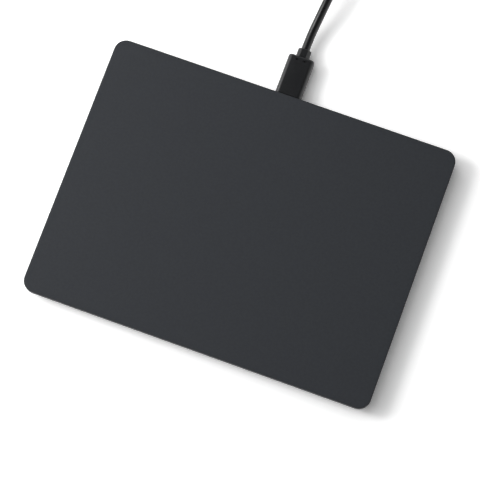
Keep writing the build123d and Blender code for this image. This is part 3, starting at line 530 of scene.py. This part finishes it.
def capacitor_tree(finish, sizes, columns, rows):
    """A grid of capacitors, each a ceramic block joined with a tinned one at each end."""
    tree, inlet, outlet = start_tree("capacitors", sizes)
    grid = add_node(tree, "GeometryNodeMeshGrid", {
        "Size X": inlet["Spread X"], "Size Y": inlet["Spread Y"], "Vertices X": columns,
        "Vertices Y": rows})["Mesh"]
    places = move(tree, grid, vector_of(tree, y=inlet["Middle Y"], z=inlet["Middle Z"]))
    end_block = block(tree, inlet["End length"], inlet["Width"], inlet["Height"])
    ends_apart = compute(tree, "SUBTRACT", inlet["Length"], inlet["End length"])
    end_blocks = [move(tree, end_block, vector_of(tree, product(tree, ends_apart, share)))
                  for share in (-0.5, 0.5)]
    ceramic_block = block(tree, *[compute(tree, "SUBTRACT", inlet[side], inlet["Ceramic inset"])
                                  for side in ("Length", "Width", "Height")])
    capacitor = join(tree, ceramic_block, *end_blocks)
    return finish_tree(tree, repeat(tree, places, capacitor), finish, outlet)


capacitor_columns, capacitor_rows = 6, 3
capacitor_length = 1.0 * mm
capacitor_width = 0.5 * mm
capacitor_end = 0.24 * mm
ceramic_inset = 0.03 * mm
capacitors_size, capacitors_middle = measure("sensor_passives")[2:]
capacitor_spread = capacitors_size.x - capacitor_length
capacitor_pitch = capacitor_spread / (capacitor_columns - 1)
ceramic = start_finish("tinned_ceramic", roughness=0.4)
ceramic_tree = ceramic.node_tree
ceramic_x = parts_of(ceramic_tree, own_place(ceramic_tree))["X"]
pitch_share = compute(ceramic_tree, "FRACT", product(ceramic_tree, ceramic_x, 1 / capacitor_pitch))
from_middle = compute(ceramic_tree, "ABSOLUTE", compute(ceramic_tree, "SUBTRACT", pitch_share, 0.5))
end_share = (capacitor_length / 2 - capacitor_end) / capacitor_pitch
on_end = compute(ceramic_tree, "GREATER_THAN", from_middle, end_share)
vary_colour(ceramic, (142, 112, 82), (205, 205, 202), on_end, span=(0.4, 0.6))
feed(ceramic, "Metallic", on_end)
vary_roughness(ceramic, 0.34, 0.5, noise(ceramic, 6000))
capacitor_sizes = {
    "Spread X": capacitor_spread, "Spread Y": capacitors_size.y - capacitor_width,
    "Length": capacitor_length, "Width": capacitor_width, "Height": capacitors_size.z,
    "End length": capacitor_end, "Ceramic inset": 2 * ceramic_inset, "Middle Y": capacitors_middle.y,
    "Middle Z": capacitors_middle.z}
capacitor_grid = capacitor_tree(ceramic, capacitor_sizes, capacitor_columns, capacitor_rows)
capacitors = grow("sensor_capacitors", capacitor_grid, capacitor_sizes, place_marks([]))
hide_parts("sensor_passives")
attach(capacitors, "touch_plate")

# Ribbon cables: amber film over copper tracks that run along them. One joins the port board to the
# sensor board and the other crosses the cover to the switch board, each in a moulded ivory socket.
film = start_finish("ribbon_film", roughness=0.25)
film_tree = film.node_tree
film_track_pitch = 0.5 * mm
film_across = parts_of(film_tree, own_place(film_tree))["X"]
film_tracks = compute(film_tree, "SINE", product(film_tree, film_across, 2 * math.pi / film_track_pitch))
vary_colour(film, (176, 98, 26), (214, 142, 62), film_tracks, span=(0.0, 0.35))
vary_roughness(film, 0.2, 0.34, noise(film, 500))
emboss(film, film_tracks, 0.02 * mm)
dress(film, "flex_cable", "switch_ribbon")
dress(ivory, "port_connector", "sensor_connector")

# Switches: two black moulded bodies on the switch board, each with a snap dome of spring steel under a
# plunger that the plate pushes down.
switch_plastic = moulded_plastic("switch_plastic", (33, 33, 35), (39, 39, 41), roughness=0.5)
dress(switch_plastic, "switch_left", "switch_right", "plunger_left", "plunger_right")
dress(spring_steel, "dome_left", "dome_right")


# Inner screws: six small pan-headed ones of blackened steel with a cross recess, driven down into the
# housing's ledge. They hold the two boards and the two leaf springs.
def in_millimetres(lengths):
    """Named lengths as a tree takes them that cuts and joins in millimetres."""
    return {label: length / mm for label, length in lengths.items()}


def to_metres(tree, geometry, turn=(0.0, 0.0, 0.0)):
    """What was cut and joined in millimetres, at which such small cuts are sure, brought to metres."""
    return move(tree, geometry, turn=turn, scale=(mm, mm, mm))


def cut(tree, solid, cutters):
    """A closed solid less its cutters."""
    return add_node(tree, "GeometryNodeMeshBoolean", {0: solid, 1: cutters}, operation="DIFFERENCE")["Mesh"]


def screw_tree(finish, sizes, head_sides=40, shank_sides=20, thread_count=5, root_share=0.78,
               sunk_share=0.35, cross_share=1.06):
    """A screw at each vertex: a cross-recessed head on the vertex, and its threaded shank above it.

    Its sizes are in millimetres. Every other ring of the shank is drawn in to the root of the thread.
    The shank is sunk in the head, and one slot of the recess is a little deeper than the other, so that
    no two faces of them lie in one plane.
    """
    tree, inlet, outlet = start_tree("screws", sizes)
    head = add_node(tree, "GeometryNodeMeshCone", {
        "Vertices": head_sides, "Radius Bottom": inlet["Face radius"], "Radius Top": inlet["Seat radius"],
        "Depth": inlet["Head height"]})["Mesh"]
    cross_height = product(tree, inlet["Head height"], cross_share)
    slots = [block(tree, inlet["Recess length"], inlet["Recess width"], inlet["Head height"]),
             block(tree, inlet["Recess width"], inlet["Recess length"], cross_height)]
    sunk = product(tree, inlet["Head height"], sunk_share)
    depth = compute(tree, "ADD", inlet["Shank length"], sunk)
    shank = add_node(tree, "GeometryNodeMeshCylinder", {
        "Vertices": shank_sides, "Side Segments": 2 * thread_count, "Radius": inlet["Shank radius"],
        "Depth": depth})["Mesh"]
    place = parts_of(tree, add_node(tree, "GeometryNodeInputPosition")["Position"])
    way_up = compute(tree, "ADD", compute(tree, "DIVIDE", place["Z"], depth), 0.5)
    ring = compute(tree, "ROUND", product(tree, way_up, 2 * thread_count))
    on_crest = compute(tree, "MODULO", ring, 2)
    draw = compute(tree, "ADD", product(tree, on_crest, 1 - root_share), root_share)
    drawn_in = vector_of(tree, product(tree, place["X"], draw), product(tree, place["Y"], draw), place["Z"])
    threaded = add_node(tree, "GeometryNodeSetPosition", {"Geometry": shank, "Position": drawn_in})[0]
    shank_middle = compute(tree, "ADD", compute(tree, "SUBTRACT", inlet["Head height"], sunk),
                           product(tree, depth, 0.5))
    screw = join(tree, cut(tree, head, slots), move(tree, threaded, vector_of(tree, z=shank_middle)))
    turned_screw = to_metres(tree, screw, vector_of(tree, x=inlet["Turn"]))
    return finish_tree(tree, repeat(tree, inlet["Geometry"], turned_screw), finish, outlet)


black_steel = start_finish("black_steel", roughness=0.38, metallic=1.0)
vary_colour(black_steel, (78, 78, 81), (90, 90, 93), noise(black_steel, 2500))
vary_roughness(black_steel, 0.3, 0.48, noise(black_steel, 900))
emboss(black_steel, noise(black_steel, 7000), 0.006 * mm)
pan_head_radius = 1.3 * mm
pan_head_height = 0.6 * mm
spring_thickness = 0.25 * mm
switch_screw_x, port_screw_x = 20 * mm, 10.5 * mm
board_low, board_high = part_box("port_board")
pan_screws_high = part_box("inner_screws")[1]
spring_screw_x, pan_screw_row = pan_screws_high.x - pan_head_radius, pan_screws_high.y - pan_head_radius
pan_screw_marks = place_marks([
    (side * x, row * pan_screw_row, seat + pan_head_height) for side in (-1, 1) for x, row, seat in (
        (switch_screw_x, -1, board_high.z), (port_screw_x, 1, board_high.z),
        (spring_screw_x, 1, board_low.z + spring_thickness))])
pan_screw_sizes = in_millimetres({
    "Face radius": 1.15 * mm, "Seat radius": pan_head_radius, "Head height": pan_head_height,
    "Shank radius": 0.6 * mm, "Shank length": 1.3 * mm, "Recess length": 1.3 * mm, "Recess width": 0.3 * mm})
pan_screw_sizes["Turn"] = math.pi
screws = screw_tree(black_steel, pan_screw_sizes)
pan_screws = grow("pan_screws", screws, pan_screw_sizes, pan_screw_marks)
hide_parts("inner_screws")
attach(pan_screws, "base")

# Bottom cover: a flat moulded lid let into the housing, a shade darker and a little rougher than it,
# with countersunk holes and a recess for each foot.
cover_plastic = moulded_plastic("cover_plastic", (34, 35, 37), (38, 39, 41), roughness=0.58,
                                grain=4200, grain_depth=0.02 * mm)
dress(cover_plastic, "bottom_cover")

# Cover screws: six of the same blackened steel with flat countersunk heads, driven up through the cover
# into the housing's bosses.
countersunk_radius = 1.9 * mm
cover_screws_low, cover_screws_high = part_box("cover_screws")
cover_screw_marks = place_marks([
    (side * (cover_screws_high.x - countersunk_radius), row * (cover_screws_high.y - countersunk_radius),
     cover_screws_low.z) for side in (-1, 1) for row in (-1, 0, 1)])
cover_screw_sizes = in_millimetres({
    "Face radius": countersunk_radius, "Seat radius": 0.85 * mm, "Head height": 1.0 * mm,
    "Shank radius": 0.8 * mm, "Shank length": 2.2 * mm, "Recess length": 2.0 * mm,
    "Recess width": 0.42 * mm})
cover_screw_sizes["Turn"] = 0.0
recessed_screws = grow("recessed_screws", screws, cover_screw_sizes, cover_screw_marks)
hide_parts("cover_screws")
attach(recessed_screws, "base")

# Feet: four long pads of soft black rubber with round ends and an eased lower edge. They are stuck in the
# cover's recesses and keep the pad from sliding on the desk.
foot_ease = 0.35 * mm
foot_border = 0.3 * mm
rubber = start_finish("foot_rubber", roughness=0.8, specular=0.25)
vary_colour(rubber, (21, 21, 22), (28, 28, 29), noise(rubber, 700, detail=5))
vary_roughness(rubber, 0.74, 0.9, noise(rubber, 300))
emboss(rubber, noise(rubber, 2600, detail=4), 0.03 * mm)
for corner_name in ("front_left", "front_right", "rear_left", "rear_right"):
    foot_corner = measure(f"foot_{corner_name}")[2].y / 2
    foot_form = eased_block(f"foot_{corner_name}", "Z", foot_corner, foot_ease, 0, foot_border)
    foot = make_piece(f"rubber_foot_{corner_name}", foot_form, rubber)
    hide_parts(f"foot_{corner_name}")
    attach(foot, "base")

# Stiffener: stamped aluminium sheet with a brushed face under the sensor board, bent down into hinge
# knuckles at its back and stop tabs at its front. Two grey silicone pads on it press the switches.
aluminium = start_finish("brushed_aluminium", roughness=0.36, metallic=1.0)
brush_marks = noise(aluminium, 5000, detail=4, stretch=(0.02, 1, 1))
vary_colour(aluminium, (186, 187, 190), (206, 207, 209), brush_marks)
vary_roughness(aluminium, 0.3, 0.46, brush_marks)
emboss(aluminium, brush_marks, 0.004 * mm)
silicone = moulded_plastic("grey_silicone", (134, 134, 137), (146, 146, 149), roughness=0.7,
                           grain=3000, specular=0.3)
dress(aluminium, "stiffener")
dress(silicone, "striker_left", "striker_right")

# Adhesive: a thin double-sided film, pale and a little cloudy, that holds the top sheet on the sensor
# board. It ends a few millimetres inside the sheet's edge.
adhesive = moulded_plastic("adhesive_film", (205, 205, 200), (217, 217, 212), roughness=0.45)
dress(adhesive, "glass_adhesive")

# Touch surface: one thin sheet of glass over the whole top, with a matte dark grey coating. Its edge is
# eased, and painted shade makes the eased edge a shade darker than the face.
plate_corner = 5.5 * mm
plate_edge = 0.35 * mm
plate_under_edge = 0.15 * mm
plate_border = 1.0 * mm
edge_shade_depth = 0.06 * mm
plate_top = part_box("touch_glass")[1].z
coating = start_finish("touch_coating", roughness=0.52, specular=0.22)
coating_tree = coating.node_tree
face_tone = vary_colour(coating, (44.5, 47, 51), (47.5, 50, 54), noise(coating, 900))
plate_height = parts_of(coating_tree, own_place(coating_tree))["Z"]
# Painted shade: below the face, the base colour turns to a darker grey over the eased edge.
face_over_edge_shade = rescale(coating_tree, plate_height, 0.0, 1.0, plate_top - 2 * edge_shade_depth,
                 plate_top - edge_shade_depth)
edge_shade_or_face = add_node(coating_tree, "ShaderNodeMix", {
    "Factor": face_over_edge_shade, "A": paint((27, 28, 30)), "B": face_tone}, data_type="RGBA")["Result"]
feed(coating, "Base Color", edge_shade_or_face)
vary_roughness(coating, 0.5, 0.55, noise(coating, 70, detail=5))
emboss(coating, noise(coating, 9000), 0.004 * mm)
plate_form = eased_block("touch_glass", "Z", plate_corner, plate_under_edge, plate_edge, plate_border)
touch_surface = make_piece("touch_surface", plate_form, coating)
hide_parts("touch_glass")
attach(touch_surface, "touch_plate")

# USB-C plug: a drawn steel shell with a nickel coat round a black moulded insert, and a grip of black
# elastomer moulded over them, with long rounded edges and two small pits that the mould's pins leave.
grip_corner = 1.9 * mm
grip_front_ease = 0.3 * mm
grip_back_ease = 1.1 * mm
grip_border = 0.5 * mm
pit_radius = 0.45 * mm
pit_depth = 0.9 * mm
pit_spacing = 3.6 * mm
pit_from_end = 2.0 * mm
black_insert = moulded_plastic("insert_plastic", (26, 26, 27), (31, 31, 32), roughness=0.45)
dress(nickel, "usb_c_plug_shell")
dress(black_insert, "usb_c_plug_insert")
elastomer = moulded_plastic("grip_elastomer", (21, 22, 24), (25, 26, 28), roughness=0.3,
                            grain=5200, grain_depth=0.008 * mm, specular=0.5)
grip_form = eased_block("usb_c_overmold", "Y", grip_corner, grip_front_ease, grip_back_ease, grip_border)
usb_c_grip = make_piece("usb_c_grip", grip_form, elastomer)
_, grip_high, _, grip_middle = measure("usb_c_overmold")
pit_places = [Vector((grip_middle.x + side * pit_spacing / 2, grip_high.y - pit_from_end, grip_high.z))
              for side in (-1, 1)]
drill(usb_c_grip, pit_places, pit_radius, pit_depth)
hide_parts("usb_c_overmold")
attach(usb_c_grip, "lead")


# Collar: the short strain relief of the same elastomer between the grip and the cord. Its long edges
# are cut off at a slope, so that it has a narrow flat top with a slope on each side.
def sloped_outline(half_width, half_depth, slope, ease=0.25 * mm, most_ease_share=0.4, ease_steps=4):
    """Points round a rectangle whose corners are cut off at 45 degrees, with the arrises eased."""
    turns = []
    for number, (side_x, side_y) in enumerate(((1, 1), (-1, 1), (-1, -1), (1, -1))):
        pair = [(side_x * half_width, side_y * (half_depth - slope)),
                (side_x * (half_width - slope), side_y * half_depth)]
        turns += pair[::-1] if number % 2 else pair
    points = []
    for before, turn, after in zip(turns[-1:] + turns, turns, turns[1:] + turns[:1]):
        turn = Vector(turn)
        ways = [Vector(other) - turn for other in (before, after)]
        first, last = (turn + way.normalized() * min(ease, way.length * most_ease_share) for way in ways)
        for step in range(ease_steps + 1):
            share = step / ease_steps
            points.append(first * (1 - share) ** 2 + turn * 2 * share * (1 - share) + last * share ** 2)
    return points


collar_slope = 1.5 * mm
collar_end_ease = 0.4 * mm
collar_border = 0.3 * mm
collar_form = eased_block("usb_c_strain_relief", "Y", collar_slope, 0, collar_end_ease, collar_border,
                          sloped_outline)
collar = make_piece("usb_c_collar", collar_form, elastomer)
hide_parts("usb_c_strain_relief")
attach(collar, "lead")

# Cord: one metre of round cable in a smooth black jacket. It leaves the collar, rises a little, comes
# down on the desk behind the view and is put away there in a two-layer coil, out to its second plug.
cord_diameter = 3.9 * mm
points_per_turn = 16
coil_turns = 3
coil_pitch = 4.8 * mm
coil_outer_radius = 29.1 * mm
coil_centre = Vector((-24.1 * mm, 163.0 * mm, 0))
bottom_z, top_z = 2.5 * mm, 7.2 * mm
lead_route = [(0, 83.8, 4.23), (0, 90.5, 4.23), (1.0, 99.5, 6.3), (2.2, 110.5, 8.2), (3.8, 123.5, 7.6),
              (4.8, 136.5, 4.9), (5.0, 150.0, 2.5), (5.0, 163.0, 2.5)]
tail_route = [(-53.2, 163.0, 7.2), (-53.2, 156.0, 7.2), (-54.0, 143.5, 4.0), (-54.0, 136.5, 4.0)]


def coil_points():
    """The coil's turns: in along the bottom, up a layer in half a turn, and out along the top.

    The CAD spirals are quarter turns about the corners of a square a quarter of the pitch wide. A smooth
    line is drawn in from each of its points by the neighbour share of the way to both neighbours, so
    the points stand out by what it loses.
    """
    quarters, neighbour_share = 4, 1 / 8
    half_turn_points = points_per_turn // 2
    turn_step = 2 * math.pi / points_per_turn
    kept_share = 1 - 2 * neighbour_share * (1 - math.cos(turn_step))
    centre_shift = coil_pitch / quarters / 2
    inner_radius = coil_outer_radius - coil_turns * coil_pitch
    points = []
    for number in range(1, coil_turns * points_per_turn + 1):
        radius = coil_outer_radius + centre_shift - coil_pitch * number / points_per_turn
        points.append((-centre_shift, centre_shift, radius, number * turn_step, bottom_z))
    for number in range(1, half_turn_points):
        rise = (top_z - bottom_z) * number / half_turn_points
        points.append((0, 0, inner_radius, number * turn_step, bottom_z + rise))
    for number in range(coil_turns * points_per_turn):
        radius = inner_radius + centre_shift + coil_pitch * number / points_per_turn
        points.append((centre_shift, centre_shift, radius, math.pi + number * turn_step, top_z))
    return [(coil_centre.x + x + radius / kept_share * math.cos(angle),
             coil_centre.y + y + radius / kept_share * math.sin(angle), z)
            for x, y, radius, angle, z in points]


def in_metres(route):
    """A route in millimetres, brought to metres."""
    return [tuple(value * mm for value in point) for point in route]


cord_route = in_metres(lead_route) + coil_points() + in_metres(tail_route)
cord_curve = bpy.data.curves.new("cord", "CURVE")
cord_curve.dimensions = "3D"
cord_curve.bevel_depth = cord_diameter / 2
cord_curve.bevel_resolution = 6
cord_curve.resolution_u = 6
cord_curve.use_fill_caps = True
cord_line = cord_curve.splines.new("NURBS")
cord_line.points.add(len(cord_route) - 1)
for point, place in zip(cord_line.points, cord_route):
    point.co = (*place, 1)
cord_line.order_u = 3
cord_line.use_endpoint_u = True
cord_line.use_smooth = True
jacket = start_finish("cord_jacket", roughness=0.27, specular=0.5)
vary_colour(jacket, (10, 10, 12), (14, 14, 16), noise(jacket, 420, detail=4))
vary_roughness(jacket, 0.23, 0.33, noise(jacket, 160, detail=4))
emboss(jacket, noise(jacket, 1900, detail=2), 0.012 * mm)
cord_curve.materials.append(jacket)
cord = put_in_scene("cord", cord_curve)
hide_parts("cord_lead", "cord_coil", "cord_tail")
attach(cord, "lead")


# Coil ties: two straps of woven black webbing, each closed on itself with a flap on the coil's inner
# side. They hold the coil's turns together at its front and its back.
def woven(finish, pitch):
    """Threads that cross, on a strap that goes round the X axis: a value that is high on each thread."""
    tree = finish.node_tree
    place = parts_of(tree, own_place(tree))
    ways = (place["X"], compute(tree, "ADD", place["Y"], place["Z"]))
    waves = [compute(tree, "SINE", product(tree, way, math.pi / pitch)) for way in ways]
    return compute(tree, "ABSOLUTE", product(tree, *waves))


tie_corner = 2.2 * mm
tie_thickness = 0.5 * mm
tie_selvedge = 0.2 * mm
selvedge_share = 0.3
tie_corner_steps = 10
thread_pitch = 0.42 * mm
flap_height = 6.4 * mm
flap_corner = 0.7 * mm
flap_edge = 0.15 * mm
webbing = start_finish("tie_webbing", roughness=0.86, specular=0.2)
weave = woven(webbing, thread_pitch)
# The gaps between the threads are painted darker and the thread tops lighter: painted shade and highlight on
# the weave's relief.
vary_colour(webbing, (19, 19, 20), (37, 37, 39), weave, span=(0.0, 0.9))
vary_roughness(webbing, 0.8, 0.95, noise(webbing, 800))
emboss(webbing, weave, 0.07 * mm)
emboss(webbing, noise(webbing, 9000), 0.02 * mm)
for tie_name, inner_side in (("front", 1), ("rear", -1)):
    tie_low, tie_high, tie_size, tie_middle = measure(f"coil_tie_{tie_name}")
    outer = rounded_outline(tie_size.y / 2, tie_size.z / 2, tie_corner, tie_corner_steps)
    inner = rounded_outline(tie_size.y / 2 - tie_thickness, tie_size.z / 2 - tie_thickness,
                            tie_corner - tie_thickness, tie_corner_steps)
    outer_face = [(tie_low.x, selvedge_share), (tie_low.x + tie_selvedge, 0),
                  (tie_high.x - tie_selvedge, 0), (tie_high.x, selvedge_share)]
    section = outer_face + [(x, 1 - depth) for x, depth in reversed(outer_face)]
    tie_form = bmesh.new()
    stack(tie_form, [[(x, tie_middle.y + y_out * (1 - depth) + y_in * depth,
                       tie_middle.z + z_out * (1 - depth) + z_in * depth) for x, depth in section]
                     for (y_out, z_out), (y_in, z_in) in zip(outer, inner)], closed=True)
    flap_seat = tie_middle.y + inner_side * tie_size.y / 2
    flap_ends = sorted((flap_seat - inner_side * tie_thickness / 2, flap_seat + inner_side * tie_thickness))
    flap_eases = (0, flap_edge) if inner_side > 0 else (flap_edge, 0)
    stack_along(tie_form, "Y", tie_middle,
                eased_sections(tie_size.x, flap_height, flap_corner, *flap_ends, *flap_eases, tie_selvedge))
    coil_tie = make_piece(f"woven_tie_{tie_name}", tie_form, webbing)
    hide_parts(f"coil_tie_{tie_name}")
    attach(coil_tie, "lead")


# USB-A strain relief: a tapered core with five ribs round it, moulded in one with the grip, that lets
# the cord bend gently where it leaves the plug.
quarter_turn = math.pi / 2


def relief_tree(finish, sizes, rib_count, core_sides=40):
    """Ribs along Y, each a little smaller than the last, joined with a tapered core.

    Its sizes are in millimetres, and so is the rib that it starts from.
    """
    tree, inlet, outlet = start_tree("relief_ribs", sizes)
    start = vector_of(tree, inlet["Middle X"], inlet["Start Y"], inlet["Middle Z"])
    line = add_node(tree, "GeometryNodeMeshLine", {
        "Count": rib_count, "Start Location": start, "Offset": vector_of(tree, y=inlet["Pitch"])},
        mode="OFFSET")["Mesh"]
    shrunk = product(tree, add_node(tree, "GeometryNodeInputIndex")[0], inlet["Shrink"])
    scale = compute(tree, "SUBTRACT", 1.0, shrunk)
    ribs = repeat(tree, line, inlet["Geometry"], vector_of(tree, scale, 1.0, scale))
    core = add_node(tree, "GeometryNodeMeshCone", {
        "Vertices": core_sides, "Radius Bottom": inlet["Core radius"],
        "Radius Top": inlet["Core end radius"], "Depth": inlet["Core length"]})["Mesh"]
    core_start_y = compute(tree, "ADD", inlet["Start Y"], inlet["Core inset"])
    core_start = vector_of(tree, inlet["Middle X"], core_start_y, inlet["Middle Z"])
    laid_core = move(tree, core, core_start, (-quarter_turn, 0, 0))
    return finish_tree(tree, to_metres(tree, join(tree, laid_core, ribs)), finish, outlet)


rib_width = 1.15 * mm
rib_ease = 0.25 * mm
rib_border = 0.2 * mm
rib_corner_share = 0.36
rib_count = 5
rib_shrink = 0.042
core_inset = 0.55 * mm
relief_low, _, relief_size, relief_middle = measure("usb_a_strain_relief")
rib_form = bmesh.new()
stack_along(rib_form, "Y", Vector(), eased_sections(
    relief_size.x, relief_size.z, relief_size.z * rib_corner_share, 0, rib_width, rib_ease, rib_ease,
    rib_border, ease_steps=3))
bmesh.ops.scale(rib_form, vec=(1 / mm, 1 / mm, 1 / mm), verts=rib_form.verts)
first_rib = make_piece("first_rib", rib_form, elastomer)
relief_sizes = in_millimetres({
    "Pitch": (relief_size.y - rib_width) / (rib_count - 1), "Core radius": 2.7 * mm,
    "Core end radius": 2.25 * mm, "Core inset": core_inset, "Core length": relief_size.y - 2 * core_inset,
    "Middle X": relief_middle.x, "Start Y": relief_low.y, "Middle Z": relief_middle.z})
relief_sizes["Shrink"] = rib_shrink
usb_a_relief = grow("usb_a_relief", relief_tree(elastomer, relief_sizes, rib_count), relief_sizes,
                    first_rib.data)
bpy.data.objects.remove(first_rib)
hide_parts("usb_a_strain_relief")
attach(usb_a_relief, "lead")


# USB-A grip: the same elastomer, moulded over the end of the second plug's shell, with six finger
# grooves across its top and six across its underside.
def groove_tree(finish, sizes, grooves_a_side=6, bar_sides=24):
    """Grooves across the top and the underside of a grip, cut by two rows of bars that lie along X."""
    tree, inlet, outlet = start_tree("finger_grooves", sizes)
    rows = add_node(tree, "GeometryNodeMeshGrid", {
        "Size X": inlet["Row length"], "Size Y": inlet["Row gap"], "Vertices X": grooves_a_side,
        "Vertices Y": 2})["Mesh"]
    middle = vector_of(tree, *[inlet[f"Middle {axis}"] for axis in "XYZ"])
    places = move(tree, rows, middle, (quarter_turn, 0, quarter_turn))
    bar = add_node(tree, "GeometryNodeMeshCylinder", {
        "Vertices": bar_sides, "Radius": inlet["Groove radius"], "Depth": inlet["Groove length"]})["Mesh"]
    bars = repeat(tree, places, move(tree, bar, turn=(0, quarter_turn, 0)))
    return finish_tree(tree, cut(tree, inlet["Geometry"], bars), finish, outlet)


a_grip_corner = 2.2 * mm
a_grip_front_ease = 0.5 * mm
a_grip_back_ease = 1.1 * mm
pocket_gap = 0.05 * mm
pocket_corner = 0.65 * mm
groove_rise = 0.15 * mm
grooves_from_end = 6.2 * mm
a_grip_low, a_grip_high, a_grip_size, a_grip_middle = measure("usb_a_overmold")
_, a_shell_high, a_shell_size, _ = measure("usb_a_shell")
a_body_form = eased_block("usb_a_overmold", "Y", a_grip_corner, a_grip_front_ease, a_grip_back_ease,
                          grip_border)
a_body = make_piece("usb_a_body", a_body_form, elastomer)
pocket_form = bmesh.new()
pocket_section = (a_shell_size.x / 2 + pocket_gap, a_shell_size.z / 2 + pocket_gap, pocket_corner)
stack_along(pocket_form, "Y", a_grip_middle,
            [(*pocket_section, a_grip_low.y - grip_border), (*pocket_section, a_shell_high.y)])
cut_away(a_body, pocket_form)
groove_sizes = {
    "Groove radius": 0.45 * mm, "Groove length": 9.0 * mm, "Row length": 6.5 * mm,
    "Row gap": a_grip_size.z + 2 * groove_rise, "Middle X": a_grip_middle.x,
    "Middle Y": a_grip_high.y - grooves_from_end, "Middle Z": a_grip_middle.z}
usb_a_grip = grow("usb_a_grip", groove_tree(elastomer, groove_sizes), groove_sizes, a_body.data)
bpy.data.objects.remove(a_body)
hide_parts("usb_a_overmold")
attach(usb_a_grip, "lead")

# USB-A plug: a folded steel shell with a nickel coat and two latch windows, an ivory tongue inside it
# and four gold-plated contacts on the tongue. They keep their CAD form.
dress(nickel, "usb_a_shell")
dress(ivory, "usb_a_tongue")
dress(gold, "usb_a_contacts")
